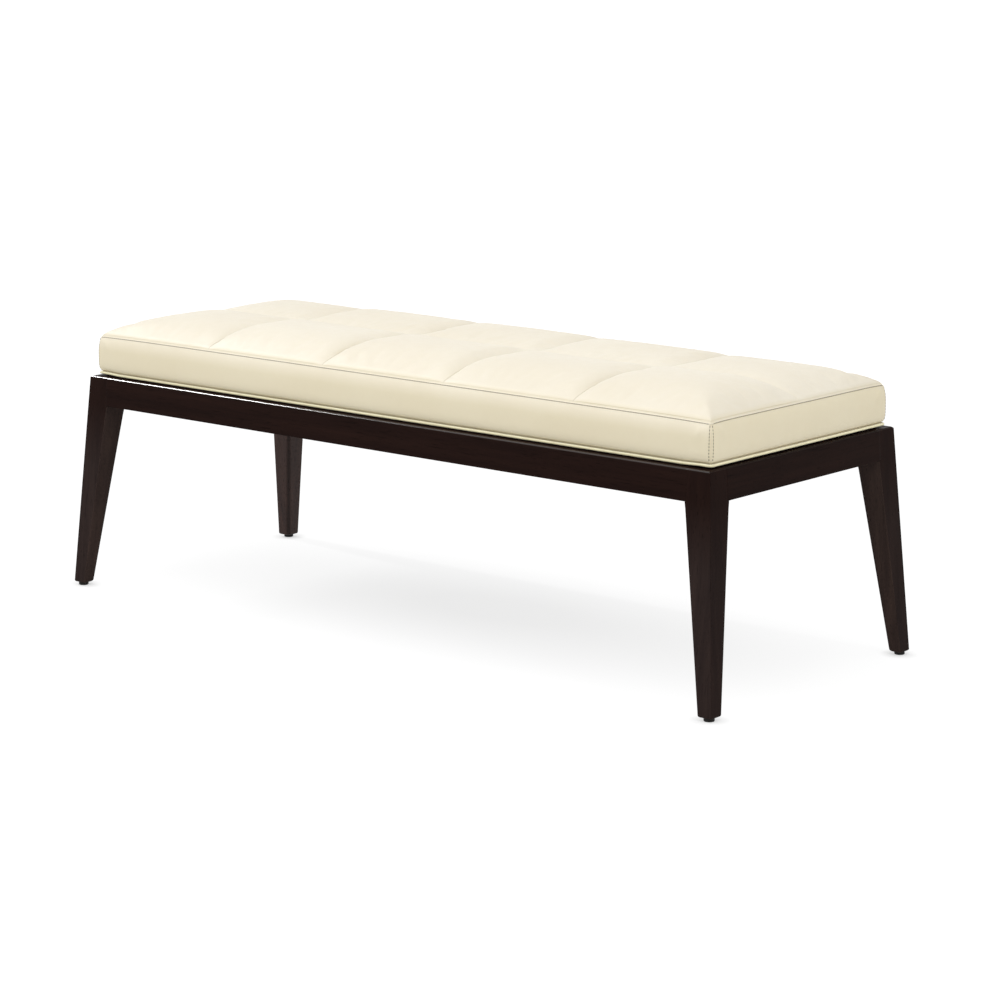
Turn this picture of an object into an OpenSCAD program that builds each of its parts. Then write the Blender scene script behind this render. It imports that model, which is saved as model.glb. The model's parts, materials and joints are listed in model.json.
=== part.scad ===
// Upholstered waiting room bench: a dark wood frame on four splayed, tapered legs,
// with a boxed leather seat whose top is sewn in two rows of puffed panels.
// X runs along the bench, the front faces -Y, and the floor is at Z = 0.

/* [Bench] */
// Length of the frame, across its top edges
bench_length = 1219; // [900:1:1800]
// Depth of the frame, across its top edges
bench_depth = 457; // [400:1:600]
// Height of the frame's top above the floor
frame_top = 342; // [300:1:420]

/* [Legs] */
// Thickness of a leg just below the rails
leg_head = 41; // [38:0.5:60]
// Thickness of a leg at its foot
leg_foot = 21; // [18:0.5:38]
// How far a foot stands out past the end of the frame
splay_end = 25; // [0:1:60]
// How far a foot stands out past the front or back of the frame
splay_side = 22; // [0:1:60]

/* [Rails] */
// Height of the four rails
rail_height = 45; // [42:0.5:70]
// Thickness of the four rails at the top
rail_thick = 25; // [20:0.5:28]
// Radius of the frame's top outer edge
edge_round = 3.5; // [1:0.25:6]
// Radius where a leg runs into the underside of a rail
leg_blend = 4; // [1:0.5:12]
// Thickness of the cross rail, seen from above
cross_thick = 25; // [18:0.5:40]
// Height of the cross rail
cross_height = 38; // [36:0.5:50]

/* [Frame joints] */
// Diameter of the dowels
dowel_d = 8; // [6:0.5:9]
// Distance between the two dowels of a joint
dowel_pitch = 22; // [18:0.5:26]
// Wood left in a leg between the dowels of its two rails
dowel_web = 3; // [2:0.5:5]
// Wood left in a long rail behind the dowels of the cross rail
rail_web = 10; // [6:0.5:12]
// Room for glue round a dowel and at its ends
glue_gap = 0.1; // [0.05:0.05:0.2]
// Height of the corner blocks
block_height = 26; // [20:0.5:30]
// How far a corner block runs along each rail from the leg
block_run = 45; // [40:1:80]
// Distance of a block's rail screws from the leg
block_screw_at = 30; // [28:0.5:34]
// Wood of a block under the head of a rail screw
block_grip = 9; // [6:0.5:10]

/* [Screws] */
// Diameter of the wood screws
screw_d = 4.2; // [3.5:0.1:5]
// Diameter of a wood screw's head
screw_head_d = 8; // [7:0.1:9.5]
// Height of a wood screw's head
screw_head_h = 2.6; // [2:0.1:3.5]
// Length of the screws that hold a corner block to the rails
block_screw_len = 30; // [22:1:31]
// Length of the screws that hold the seat to the frame
seat_screw_len = 45; // [42:1:48]
// How deep the seat's screws bite into the seat board
seat_screw_bite = 9; // [6:0.5:12]
// How far the seat's screws stand off the legs, towards the middle of the bench
seat_screw_in = 8; // [7:0.5:11]
// Room round a screw in its hole
screw_gap = 0.1; // [0.05:0.05:0.3]
// Room round a screw's head in its counterbore
head_gap = 1; // [0.5:0.25:1.25]

/* [Seat base] */
// How far the seat stands back from the ends of the frame
reveal_end = 10; // [6:0.5:16]
// How far the seat stands back from the front and back of the frame
reveal_side = 15; // [6:0.5:16]
// Thickness of the dark strips between the frame and the seat
strip_thick = 3.5; // [2:0.5:10]
// How far the dark strips stand back from the edge of the seat
strip_inset = 1; // [0.5:0.5:3]
// Thickness of the plywood seat board
board_thick = 15; // [14:0.5:22]
// Thickness of the dust cover cloth under the seat board
dust_thick = 0.8; // [0.5:0.1:1.5]
// Room between the dust cover's edge and the rails
dust_margin = 1; // [0.5:0.5:5]

/* [Seat cushion] */
// Height of the top seam above the seat board's underside, at the corners
boxing_height = 57; // [46:0.5:110]
// How far the sides swell out between the welt and the top seam
boxing_swell = 4; // [1:0.5:8]
// Radius of the cushion's upright corners
corner_r = 8; // [7.5:0.5:13]
// How much higher the top seam lies along the sides than at the corners
seam_arch = 5.5; // [0:0.5:12]
// How far the puffed top rises above its outer seam, at the ends
crown = 18; // [8:0.5:40]
// How much further it rises towards the middle of the bench
dome = 5.5; // [0:0.5:12]
// Distance from the outer seam over which a panel rises to its full height
crown_run = 55; // [30:1:80]
// Depth of the seams sewn across and along the top
seam_dip = 2.5; // [0.5:0.5:6]
// Distance from the outer seam over which a sewn seam rises to its full height
seam_run = 100; // [80:5:130]
// Distance over which a panel rises out of a sewn seam
groove_run = 32; // [20:1:44]
// Panels along the bench
panels_long = 5; // [2:1:7]
// Rows of panels across the bench
panels_deep = 2; // [1:1:3]
// Thickness of the leather
leather = 1.3; // [0.8:0.1:2]
// Diameter of the welt, the piping round the seat's lower edge
welt_d = 5; // [3.5:0.25:6]
// Width of the leather turned in under the seat board
hem_width = 20; // [16:0.5:30]
// Room between a soft piece and its neighbours
soft_gap = 0.3; // [0.2:0.05:0.5]

/* [Staples] */
// Width of a staple's back
staple_width = 10; // [8:0.5:12]
// Thickness of the staple wire
staple_wire = 0.9; // [0.7:0.1:1.2]
// Length of a staple's legs
staple_leg = 8; // [6:0.5:10]
// Widest distance between two staples
staple_pitch = 90; // [50:5:120]

/* [Feet] */
// Diameter of a glide
glide_d = 15.5; // [12:0.5:17]
// Height of a glide
glide_h = 6.2; // [5:0.1:12]
// Radius of a glide's lower edge
glide_round = 1.2; // [0.5:0.1:1.5]
// Diameter of a glide's screw
glide_screw_d = 3; // [2.5:0.1:3.5]
// Length of a glide's screw
glide_screw_len = 20; // [14:1:30]
// Diameter of the head of a glide's screw
glide_head_d = 6; // [5:0.1:6.5]
// Depth of the head of a glide's screw below the glide's face
glide_head_in = 1; // [0.5:0.1:1.5]

/* [Hidden] */
SIDES = ["front", "right", "back", "left"];
CORNERS = [["front_left", -1, -1], ["front_right", 1, -1], ["back_left", -1, 1], ["back_right", 1, 1]];

$fn = 48;
past = 1;
near = 0.01;

dark_wood = [0.15, 0.10, 0.09];
pale_wood = [0.80, 0.67, 0.48];
black = [0.04, 0.04, 0.04];
cream = [0.94, 0.91, 0.82];
steel = [0.66, 0.67, 0.69];
foam_yellow = [0.93, 0.86, 0.62];

frame_x = bench_length / 2;
frame_y = bench_depth / 2;
rail_z = frame_top - rail_height;
leg_drop = frame_top - glide_h;
lean_x = splay_end / leg_drop;
lean_y = splay_side / leg_drop;
post_x = frame_x + lean_x * rail_height - leg_head;
post_y = frame_y + lean_y * rail_height - leg_head;
rail_in_x = frame_x - rail_thick;
rail_in_y = frame_y - rail_thick;
rail_mid_x = frame_x - rail_thick / 2;
rail_mid_y = frame_y - rail_thick / 2;
foot_x = frame_x + splay_end - leg_foot / 2;
foot_y = frame_y + splay_side - leg_foot / 2;

far = bench_length + bench_depth;

dowel_reach = min(rail_mid_x - post_x, rail_mid_y - post_y) - dowel_d / 2 - dowel_web;
dowel_zs = [for (side = [-1, 1]) frame_top - rail_height / 2 + side * dowel_pitch / 2];
cross_reach = rail_thick - rail_web;

seat_x = frame_x - reveal_end;
seat_y = frame_y - reveal_side;
strip_top = frame_top + strip_thick;
board_z = strip_top + leather;
board_top = board_z + board_thick;
tuck = welt_d + soft_gap;
board_in = tuck + leather + 2 * soft_gap;
board_round = 1;
dust_top = strip_top - soft_gap;
dust_z = dust_top - dust_thick;
cross_top = dust_z - soft_gap;
cross_dowel_zs = [for (side = [-1, 1]) cross_top - cross_height / 2 + side * dowel_pitch / 2];

screw_r = screw_d / 2;
screw_hole_r = screw_r + screw_gap;
head_r = screw_head_d / 2;
head_hole_r = head_r + head_gap;
seat_head_z = board_z + seat_screw_bite - seat_screw_len;
block_z = seat_head_z;
block_mid_z = block_z + block_height / 2;
block_screw_x = post_x - block_screw_at;
block_screw_y = post_y - block_screw_at;
cross_screw_y = rail_in_y / 2;
seat_screws_at = concat(
  [for (sx = [-1, 1], sy = [-1, 1]) [sx * (post_x - seat_screw_in), sy * (post_y - seat_screw_in)]],
  [for (sy = [-1, 1]) [0, sy * cross_screw_y]]);

welt_r = welt_d / 2;
crease_z = strip_top + welt_d + 2 * soft_gap;
seam_z = board_z + boxing_height;
foam_in = leather + 3 * soft_gap;
groove_mark = 10;
bend_mark = 24;
swell_mark = 48;
crown_power = 3.4;
seam_power = 2.2;
arch_power = 6;
band_rows = 4;
band_shares = [0.72, 0.4];

dust_x = rail_in_x - dust_margin;
dust_y = rail_in_y - dust_margin;
staple_in = 6;
staple_x = dust_x - staple_in;
staple_y = dust_y - staple_in;

// Points of an arc round c, from angle a0 to angle a1, in n steps
function arc(c, r, a0, a1, n) = [for (i = [0:n])
  let (a = a0 + (a1 - a0) * i / n) c + r * [cos(a), sin(a)]];

// Outer top edge of the frame, rounded: seen along a rail, with the face leaning out downwards
function top_edge(half, lean) = arc(
  [half + lean * edge_round - edge_round * sqrt(1 + lean * lean), frame_top - edge_round],
  edge_round, atan(lean), 90, 8);

// A leg seen square on: one straight outer face, a tapered inner face, and an upright post
// beside the rail, with the blend into the rail's underside
function leg_outline(half, splay, lean, post) = let (
  foot_out = half + splay,
  taper = (foot_out - leg_foot - post) / (rail_z - glide_h),
  blend_c = [post + leg_blend * (taper - sqrt(1 + taper * taper)), rail_z - leg_blend])
  concat(
    [[foot_out - leg_foot, glide_h], [foot_out, glide_h]],
    top_edge(half, lean),
    [[post, frame_top], [post, rail_z]],
    arc(blend_c, leg_blend, 90, atan(taper), 6));

// A rail seen from its end
function rail_outline(half, lean, inner) = concat(
  [[inner, rail_z], [half + lean * rail_height, rail_z]],
  top_edge(half, lean),
  [[inner, frame_top]]);

// Draws an outline given in Y and Z, or in X and Z, and pulls it out along the other axis
module along_x(points, sign, length) {
  rotate([90, 0, 90])
    linear_extrude(height = length, center = true)
      polygon([for (p = points) [sign * p[0], p[1]]]);
}

module along_y(points, sign, length) {
  rotate([90, 0, 0])
    linear_extrude(height = length, center = true)
      polygon([for (p = points) [sign * p[0], p[1]]]);
}

// A round bar that starts at a point and runs along +X or -X, or along +Y or -Y
module bar_x(at, sign, r, length) {
  translate(at)
    rotate([0, sign * 90, 0])
      cylinder(r = r, h = length);
}

module bar_y(at, sign, r, length) {
  translate(at)
    rotate([-sign * 90, 0, 0])
      cylinder(r = r, h = length);
}

// The dowels of the four corners; more makes the holes that hold them
module corner_dowels(more) {
  for (sx = [-1, 1], sy = [-1, 1], z = dowel_zs) {
    bar_x([sx * (post_x - dowel_reach - more), sy * rail_mid_y, z], sx, dowel_d / 2 + more,
      2 * (dowel_reach + more));
    bar_y([sx * rail_mid_x, sy * (post_y - dowel_reach - more), z], sy, dowel_d / 2 + more,
      2 * (dowel_reach + more));
  }
}

// The dowels at the two ends of the cross rail
module cross_dowels(more) {
  for (sy = [-1, 1], z = cross_dowel_zs)
    bar_y([0, sy * (rail_in_y - dowel_reach - more), z], sy, dowel_d / 2 + more,
      dowel_reach + cross_reach + 2 * more);
}

module frame_dowels() {
  color(pale_wood) {
    corner_dowels(0);
    cross_dowels(0);
  }
}

module leg(sx, sy) {
  color(dark_wood)
    difference() {
      intersection() {
        along_y(leg_outline(frame_x, splay_end, lean_x, post_x), sx, far);
        along_x(leg_outline(frame_y, splay_side, lean_y, post_y), sy, far + bench_length);
      }
      corner_dowels(glue_gap);
      glide_screw_at(sx, sy, screw_gap);
    }
}

// A long rail, at the front (sy = -1) or the back (sy = 1)
module long_rail(sy) {
  color(dark_wood)
    difference() {
      along_x(rail_outline(frame_y, lean_y, rail_in_y), sy, 2 * post_x);
      corner_dowels(glue_gap);
      cross_dowels(glue_gap);
      block_screws(screw_gap);
    }
}

// An end rail, at the left (sx = -1) or the right (sx = 1)
module end_rail(sx) {
  color(dark_wood)
    difference() {
      along_y(rail_outline(frame_x, lean_x, rail_in_x), sx, 2 * post_y);
      corner_dowels(glue_gap);
      block_screws(screw_gap);
    }
}

module cross_rail() {
  color(pale_wood)
    difference() {
      translate([-cross_thick / 2, -rail_in_y, cross_top - cross_height])
        cube([cross_thick, 2 * rail_in_y, cross_height]);
      cross_dowels(glue_gap);
      seat_screw_shanks(screw_gap);
      for (sy = [-1, 1])
        translate([0, sy * cross_screw_y, cross_top - cross_height - past])
          cylinder(r = head_hole_r, h = seat_head_z - cross_top + cross_height + past);
    }
}

// A corner block fills the corner between two rails, cut out round the leg
module corner_block(sx, sy) {
  corner = [
    [post_x - block_run, rail_in_y], [post_x, rail_in_y], [post_x, post_y],
    [rail_in_x, post_y], [rail_in_x, post_y - block_run]
  ];
  color(pale_wood)
    difference() {
      translate([0, 0, block_z])
        linear_extrude(height = block_height)
          polygon([for (p = corner) [sx * p[0], sy * p[1]]]);
      block_screws(screw_gap);
      seat_screw_shanks(screw_gap);
      bar_y([sx * block_screw_x, sy * (rail_in_y - block_grip), block_mid_z], -sy, head_hole_r, block_run);
      bar_x([sx * (rail_in_x - block_grip), sy * block_screw_y, block_mid_z], -sx, head_hole_r, block_run);
    }
}

// The screws through the corner blocks into the rails; more makes their holes
module block_screws(more) {
  for (sx = [-1, 1], sy = [-1, 1]) {
    bar_y([sx * block_screw_x, sy * (rail_in_y - block_grip), block_mid_z], sy, screw_r + more,
      block_screw_len + more);
    bar_x([sx * (rail_in_x - block_grip), sy * block_screw_y, block_mid_z], sx, screw_r + more,
      block_screw_len + more);
  }
}

module corner_block_screws() {
  color(steel) {
    block_screws(0);
    for (sx = [-1, 1], sy = [-1, 1]) {
      bar_y([sx * block_screw_x, sy * (rail_in_y - block_grip), block_mid_z], -sy, head_r, screw_head_h);
      bar_x([sx * (rail_in_x - block_grip), sy * block_screw_y, block_mid_z], -sx, head_r, screw_head_h);
    }
  }
}

// The shanks of the screws that hold the seat down; more makes their holes
module seat_screw_shanks(more) {
  for (p = seat_screws_at)
    translate([p[0], p[1], seat_head_z])
      cylinder(r = screw_r + more, h = seat_screw_len + more);
}

module seat_screws() {
  color(steel) {
    seat_screw_shanks(0);
    for (p = seat_screws_at)
      translate([p[0], p[1], seat_head_z - screw_head_h])
        cylinder(r = head_r, h = screw_head_h);
  }
}

// The long strips run from end to end, and the short ones fit between them
module spacer_strip(side) {
  long = side == "front" || side == "back";
  sign = side == "front" || side == "left" ? -1 : 1;
  outer = long ? seat_y - strip_inset : seat_x - strip_inset;
  inner = long ? rail_in_y : rail_in_x;
  half = long ? seat_x - strip_inset : rail_in_y;
  middle = sign * (outer + inner) / 2;
  size = long ? [2 * half, outer - inner] : [outer - inner, 2 * half];
  color(black)
    translate(long ? [0, middle, frame_top] : [middle, 0, frame_top])
      linear_extrude(height = strip_thick)
        square(size, center = true);
}

module seat_board() {
  board_r = max(corner_r - board_in, board_round);
  x = seat_x - board_in - board_r;
  y = seat_y - board_in - board_r;
  color(pale_wood)
    difference() {
      translate([0, 0, board_z])
        linear_extrude(height = board_thick)
          union() {
            square([2 * x, 2 * (y + board_r)], center = true);
            square([2 * (x + board_r), 2 * y], center = true);
            for (sx = [-1, 1], sy = [-1, 1])
              translate([sx * x, sy * y])
                circle(r = board_r);
          }
      seat_screw_shanks(screw_gap);
      staples(screw_gap);
    }
}

module dust_cover() {
  color(black)
    difference() {
      translate([-dust_x, -dust_y, dust_z])
        cube([2 * dust_x, 2 * dust_y, dust_thick]);
      seat_screw_shanks(screw_gap);
      staples(screw_gap);
    }
}

// One staple, back down: along is [1, 0] or [0, 1]; more makes the slots for its legs
module staple(at, along, more) {
  wide = staple_wire + 2 * more;
  spread = (staple_width - staple_wire) / 2;
  back = [for (a = along) a == 1 ? staple_width : staple_wire];
  for (end = [-1, 1])
    translate(concat(at + end * spread * along, dust_z - staple_wire))
      linear_extrude(height = staple_leg + more + staple_wire)
        square(wide, center = true);
  if (more == 0)
    translate(concat(at, dust_z - staple_wire))
      linear_extrude(height = staple_wire)
        square(back, center = true);
}

// The staples stand in four rows, evenly spaced, as many on each side of the cross rail
module staples(more) {
  count_x = 2 * ceil(staple_x / staple_pitch);
  count_y = 2 * ceil(staple_y / staple_pitch);
  for (i = [0:count_x - 1], sy = [-1, 1])
    staple([staple_x * (2 * i + 1 - count_x) / count_x, sy * staple_y], [1, 0], more);
  for (j = [0:count_y - 1], sx = [-1, 1])
    staple([sx * staple_x, staple_y * (2 * j + 1 - count_y) / count_y], [0, 1], more);
}

module dust_cover_staples() {
  color(steel)
    staples(0);
}

// How far the top has risen, from 0 at the outer seam to 1, e away from it
function rise(e, run, power) = e >= run ? 1 : 1 - pow(1 - max(e, 0) / run, power);

// The same, counted from an end and from a side at once
function rise_both(x, y, run, power) =
  rise(seat_x - abs(x), run, power) * rise(seat_y - abs(y), run, power);

// How near a point is to a sewn seam, from 1 in the seam to 0 beside it
function groove(v, half, count) = count < 2 ? 0 : max([for (k = [1:count - 1])
  pow(max(0, 1 - abs(v + half - 2 * half * k / count) / groove_run), 2)]);

// Height of the leather's upper face: the panels rise steeply and the sewn seams slowly
function top_z(x, y) = let (
  full = crown + dome * (1 - pow(x / seat_x, 2)),
  puffed = full * rise_both(x, y, crown_run, crown_power),
  sewn = (full - seam_dip) * rise_both(x, y, seam_run, seam_power),
  share = max(groove(x, seat_x, panels_long), groove(y, seat_y, panels_deep)))
  seam_z
  + seam_arch * (1 - pow(abs(x) / seat_x, arch_power) * pow(abs(y) / seat_y, arch_power))
  + puffed + (sewn - puffed) * share;

// Where the faces of one panel bend, between its two seams
function marks(half, count, k) = let (pitch = 2 * half / count, start = -half + k * pitch) [
  start,
  start + (k == 0 ? corner_r : groove_mark),
  start + bend_mark,
  start + swell_mark,
  start + pitch / 2,
  start + pitch - swell_mark,
  start + pitch - bend_mark,
  start + pitch - (k == count - 1 ? corner_r : groove_mark),
  start + pitch
];

// The marks of all the panels in a row; a panel's last mark is the next one's first
function all_marks(half, count) = let (last = len(marks(half, count, 0)) - 1) concat(
  [for (k = [0:count - 1], i = [0:last - 1]) marks(half, count, k)[i]], [half]);

// A point of the cushion's plan, d inside its edge; the four corners lie on their arcs
function plan(x, y, d) = let (
  at_x = abs(x) > seat_x - near,
  at_y = abs(y) > seat_y - near,
  turn = corner_r - (corner_r - d) * cos(45))
  at_x && at_y ? [sign(x) * (seat_x - turn), sign(y) * (seat_y - turn)]
  : [at_x ? sign(x) * (seat_x - d) : x, at_y ? sign(y) * (seat_y - d) : y];

// The numbers of a grid's edge points, once round: wide points in a row, deep rows
function edge_loop(wide, deep) = concat(
  [for (i = [0:wide - 2]) i],
  [for (j = [0:deep - 2]) j * wide + wide - 1],
  [for (i = [wide - 1:-1:1]) (deep - 1) * wide + i],
  [for (j = [deep - 1:-1:1]) j * wide]);

// A shell between two grids of points: outer seen from outside, with rows from left to right
module shell(outer, inner) {
  wide = len(outer[0]);
  deep = len(outer);
  under = wide * deep;
  loop = edge_loop(wide, deep);
  rim = len(loop);
  points = concat([for (row = outer) each row], [for (row = inner) each row]);
  faces = concat(
    [for (j = [0:deep - 2], i = [0:wide - 2]) let (a = j * wide + i, b = under + a) each
      [[a, a + wide, a + wide + 1], [a, a + wide + 1, a + 1],
       [b, b + wide + 1, b + wide], [b, b + 1, b + wide + 1]]],
    [for (k = [0:rim - 1]) let (p = loop[k], q = loop[(k + 1) % rim]) each
      [[p, q, under + q], [p, under + q, under + p]]]);
  polyhedron(points = points, faces = faces, convexity = 6);
}

// One leather panel of the top, in row j and column k
module top_panel(j, k) {
  xs = marks(seat_x, panels_long, k);
  ys = marks(seat_y, panels_deep, j);
  color(cream)
    shell(
      [for (y = ys) [for (x = xs) concat(plan(x, y, 0), top_z(x, y))]],
      [for (y = ys) [for (x = xs) concat(plan(x, y, 0), top_z(x, y) - leather)]]);
}

// The filling: its top follows the leather, and its flat base lies on the seat board
module foam_core() {
  xs = all_marks(seat_x, panels_long);
  ys = all_marks(seat_y, panels_deep);
  wide = len(xs);
  count = wide * len(ys);
  loop = edge_loop(wide, len(ys));
  rim = len(loop);
  upper = [for (y = ys) each
    [for (x = xs) concat(plan(x, y, foam_in), top_z(x, y) - leather - soft_gap)]];
  base_z = board_top + soft_gap;
  base = [for (k = loop) [upper[k][0], upper[k][1], base_z]];
  faces = concat(
    [for (j = [0:len(ys) - 2], i = [0:wide - 2]) let (a = j * wide + i) each
      [[a, a + wide, a + wide + 1], [a, a + wide + 1, a + 1]]],
    [for (k = [0:rim - 1]) let (n = (k + 1) % rim) each
      [[loop[k], loop[n], count + n], [loop[k], count + n, count + k], [count + k, count + n, count + rim]]]);
  color(foam_yellow)
    polyhedron(points = concat(upper, base, [[0, 0, base_z]]), faces = faces, convexity = 6);
}

// A side band turned so that it faces the front: u along it, d inside the cushion's edge
function band_plan(u, d, along, away) = let (turn = corner_r - (corner_r - d) * cos(45))
  abs(u) > along - near ? [sign(u) * (along - turn), turn - away] : [u, d - away];

function turned(p, quarter) = let (a = 90 * quarter)
  [p[0] * cos(a) - p[1] * sin(a), p[0] * sin(a) + p[1] * cos(a)];

// One face of a side band, inset by nothing or by the leather: up behind the welt, out over
// it, and up to the top seam in a swell
function band_face(quarter, inset) = let (
  along = quarter % 2 == 0 ? seat_x : seat_y,
  away = quarter % 2 == 0 ? seat_y : seat_x,
  half = concat([along, along - corner_r, along - swell_mark], band_shares * along),
  us = concat(-half, [0], [for (i = [len(half) - 1:-1:0]) half[i]]))
  [for (k = [-2:band_rows]) [for (u = us) let (
    edge_z = (quarter % 2 == 0 ? top_z(u, away) : top_z(away, u)) - leather - soft_gap,
    t = k < 0 ? 1 : 1 - k / band_rows,
    d = inset + (k < 0 ? tuck : -boxing_swell * sin(180 * t)),
    z = k == -2 ? strip_top : k <= 0 ? crease_z + inset : edge_z + (crease_z - edge_z) * t)
    concat(turned(band_plan(u, d, along, away), quarter), z)]];

// One side of the boxing, with the hem that is turned in under the seat board
module side_band(quarter) {
  along = quarter % 2 == 0 ? seat_x : seat_y;
  away = quarter % 2 == 0 ? seat_y : seat_x;
  hem_out = tuck + leather - soft_gap;
  hem_in = tuck + hem_width;
  hem = [
    [-(along - hem_out - soft_gap), hem_out - away], [along - hem_out - soft_gap, hem_out - away],
    [along - hem_in - soft_gap, hem_in - away], [-(along - hem_in - soft_gap), hem_in - away]
  ];
  color(cream)
    difference() {
      union() {
        shell(band_face(quarter, 0), band_face(quarter, leather));
        translate([0, 0, strip_top])
          linear_extrude(height = leather)
            polygon([for (p = hem) turned(p, quarter)]);
      }
      staples(screw_gap);
      seat_screw_shanks(screw_gap);
    }
}

module welt() {
  x = seat_x - corner_r;
  y = seat_y - corner_r;
  bend = corner_r - welt_r;
  z = strip_top + soft_gap + welt_r;
  color(cream)
    union() {
      for (sy = [-1, 1])
        bar_x([-x, sy * (y + bend), z], 1, welt_r, 2 * x);
      for (sx = [-1, 1])
        bar_y([sx * (x + bend), -y, z], 1, welt_r, 2 * y);
      for (corner = [[1, 1, 0], [-1, 1, 90], [-1, -1, 180], [1, -1, 270]])
        translate([corner[0] * x, corner[1] * y, z])
          rotate([0, 0, corner[2]])
            rotate_extrude(angle = 90)
              translate([bend, 0])
                circle(r = welt_r);
    }
}

// A glide is a turned plastic foot with a countersunk hole for its screw
module glide(sx, sy) {
  r = glide_d / 2;
  head_h = glide_head_d / 2 - glide_screw_d / 2;
  color(black)
    translate([sx * foot_x, sy * foot_y, 0])
      difference() {
        rotate_extrude()
          polygon(concat(
            [[0, 0]],
            arc([r - glide_round, glide_round], glide_round, -90, 0, 6),
            [[r, glide_h], [0, glide_h]]));
        translate([0, 0, -past])
          cylinder(r = glide_screw_d / 2 + screw_gap, h = glide_h + 2 * past);
        translate([0, 0, -past])
          cylinder(r = glide_head_d / 2 + screw_gap, h = glide_head_in + past + head_h);
      }
}

// The screw of one glide, without its head; more makes the hole in the leg
module glide_screw_at(sx, sy, more) {
  translate([sx * foot_x, sy * foot_y, glide_head_in])
    cylinder(r = glide_screw_d / 2 + more, h = glide_screw_len + more);
}

module glide_screws() {
  head_h = glide_head_d / 2 - glide_screw_d / 2;
  color(steel)
    for (sx = [-1, 1], sy = [-1, 1]) {
      glide_screw_at(sx, sy, 0);
      translate([sx * foot_x, sy * foot_y, glide_head_in])
        cylinder(r = glide_head_d / 2, h = head_h);
    }
}

for (c = CORNERS) {
  leg(c[1], c[2]);
  corner_block(c[1], c[2]);
  glide(c[1], c[2]);
}
long_rail(-1);  // rail_front
long_rail(1);  // rail_back
end_rail(-1);  // rail_left
end_rail(1);  // rail_right
cross_rail();
frame_dowels();
corner_block_screws();
seat_board();
seat_screws();
dust_cover();
dust_cover_staples();
foam_core();
welt();
glide_screws();
for (q = [0:3]) {
  side_band(q);
  spacer_strip(SIDES[q]);
}
for (j = [0:panels_deep - 1], k = [0:panels_long - 1]) {
  row = j == 0 ? "front" : j == panels_deep - 1 ? "back" : "middle";
  top_panel(j, k);
}
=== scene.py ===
# %% [markdown]
# A waiting room bench
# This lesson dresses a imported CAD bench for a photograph. The bench has a nearly black wood
# frame on four splayed legs, and a boxed cushion of cream leather, sewn in two rows of five
# puffed panels, with a welt round its lower edge. The CAD model is loaded as a fixed frame.
# Each new surface is a formula worked out on a whole grid at once, because then one number
# changes a whole seam, which hand modelling can't do.

# %% Load the CAD frame
import json

import bpy
import numpy as np
from mathutils import Matrix, Vector


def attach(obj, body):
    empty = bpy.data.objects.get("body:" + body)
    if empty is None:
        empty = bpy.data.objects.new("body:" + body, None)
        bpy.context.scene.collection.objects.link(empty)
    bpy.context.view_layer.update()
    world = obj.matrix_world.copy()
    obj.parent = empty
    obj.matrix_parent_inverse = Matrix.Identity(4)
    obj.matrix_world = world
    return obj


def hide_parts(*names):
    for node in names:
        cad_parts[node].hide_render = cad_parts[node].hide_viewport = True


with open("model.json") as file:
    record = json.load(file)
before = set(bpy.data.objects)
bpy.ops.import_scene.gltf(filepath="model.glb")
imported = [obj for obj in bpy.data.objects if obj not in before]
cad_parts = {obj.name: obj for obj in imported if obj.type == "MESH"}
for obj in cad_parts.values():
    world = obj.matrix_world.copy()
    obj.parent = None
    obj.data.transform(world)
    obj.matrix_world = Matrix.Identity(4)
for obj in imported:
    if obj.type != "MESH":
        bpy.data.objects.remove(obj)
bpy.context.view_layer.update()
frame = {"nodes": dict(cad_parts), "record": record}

scene = bpy.context.scene

# %% [markdown]
# The sizes are the CAD model's own, in metres. They could be measured from its nodes, but the
# formulas below need values that no node shows, such as the lean of the legs, so a maker's
# list is kept here. X runs along the bench, the front faces -Y, and the floor is at 0.

# %% Sizes of the bench
CORNERS = {"front_left": (-1, -1), "front_right": (1, -1), "back_left": (-1, 1), "back_right": (1, 1)}
SIDES = {"front": (1, -1), "back": (1, 1), "left": (0, -1), "right": (0, 1)}
frame_half = np.array([0.6095, 0.2285])
frame_top, rail_bottom, foot_bottom, foot_end = 0.3426, 0.297, 0.0062, 0.0050
leg_head, leg_foot, rail_thick = 0.041, 0.021, 0.025
splay, shoulder_in = np.array([0.025, 0.022]), np.array([0.0018, 0.0033])
lean = splay / (frame_top - foot_bottom)
post = frame_half + lean * (frame_top - rail_bottom) - leg_head
foot = frame_half + splay - leg_foot / 2
seat, corner_round, panels = np.array([0.5995, 0.2135]), 0.003, (5, 2)
seam_height, seam_arch, shoulder = 0.4038, 0.0018, 0.0037
crown, dome, crown_run = 0.0216, -0.0012, 0.109
puff, puff_run, seam_run = 0.0091, 0.040, 0.0265
own_front = np.array([-2.2, 1.1, 1.8, -0.3, 2.5]) * 0.001
own_back = np.array([-3.5, -1.0, -0.5, -1.7, -3.4]) * 0.001
board_top, strip_top, hide = 0.3618, 0.3455, 0.0013
welt_radius, welt_proud, welt_level = 0.0020, 0.0037, 0.3461
swell, foot_level, end_lift = 0.0044, 0.3494, 0.0012
print("legs stand", np.round(post, 4), "from the middle; the seat reaches", seat)

# %% [markdown]
# The camera stands where the photographer stood. Its place, aim and lens come from a fit to
# the corners of the frame, the feet and the seat, which is steadier than turning a camera by
# eye. It looks at a point over the middle of the floor from 4.7 metres away, through a lens
# of about 110 millimetres, so the bench shows little perspective.

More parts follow.
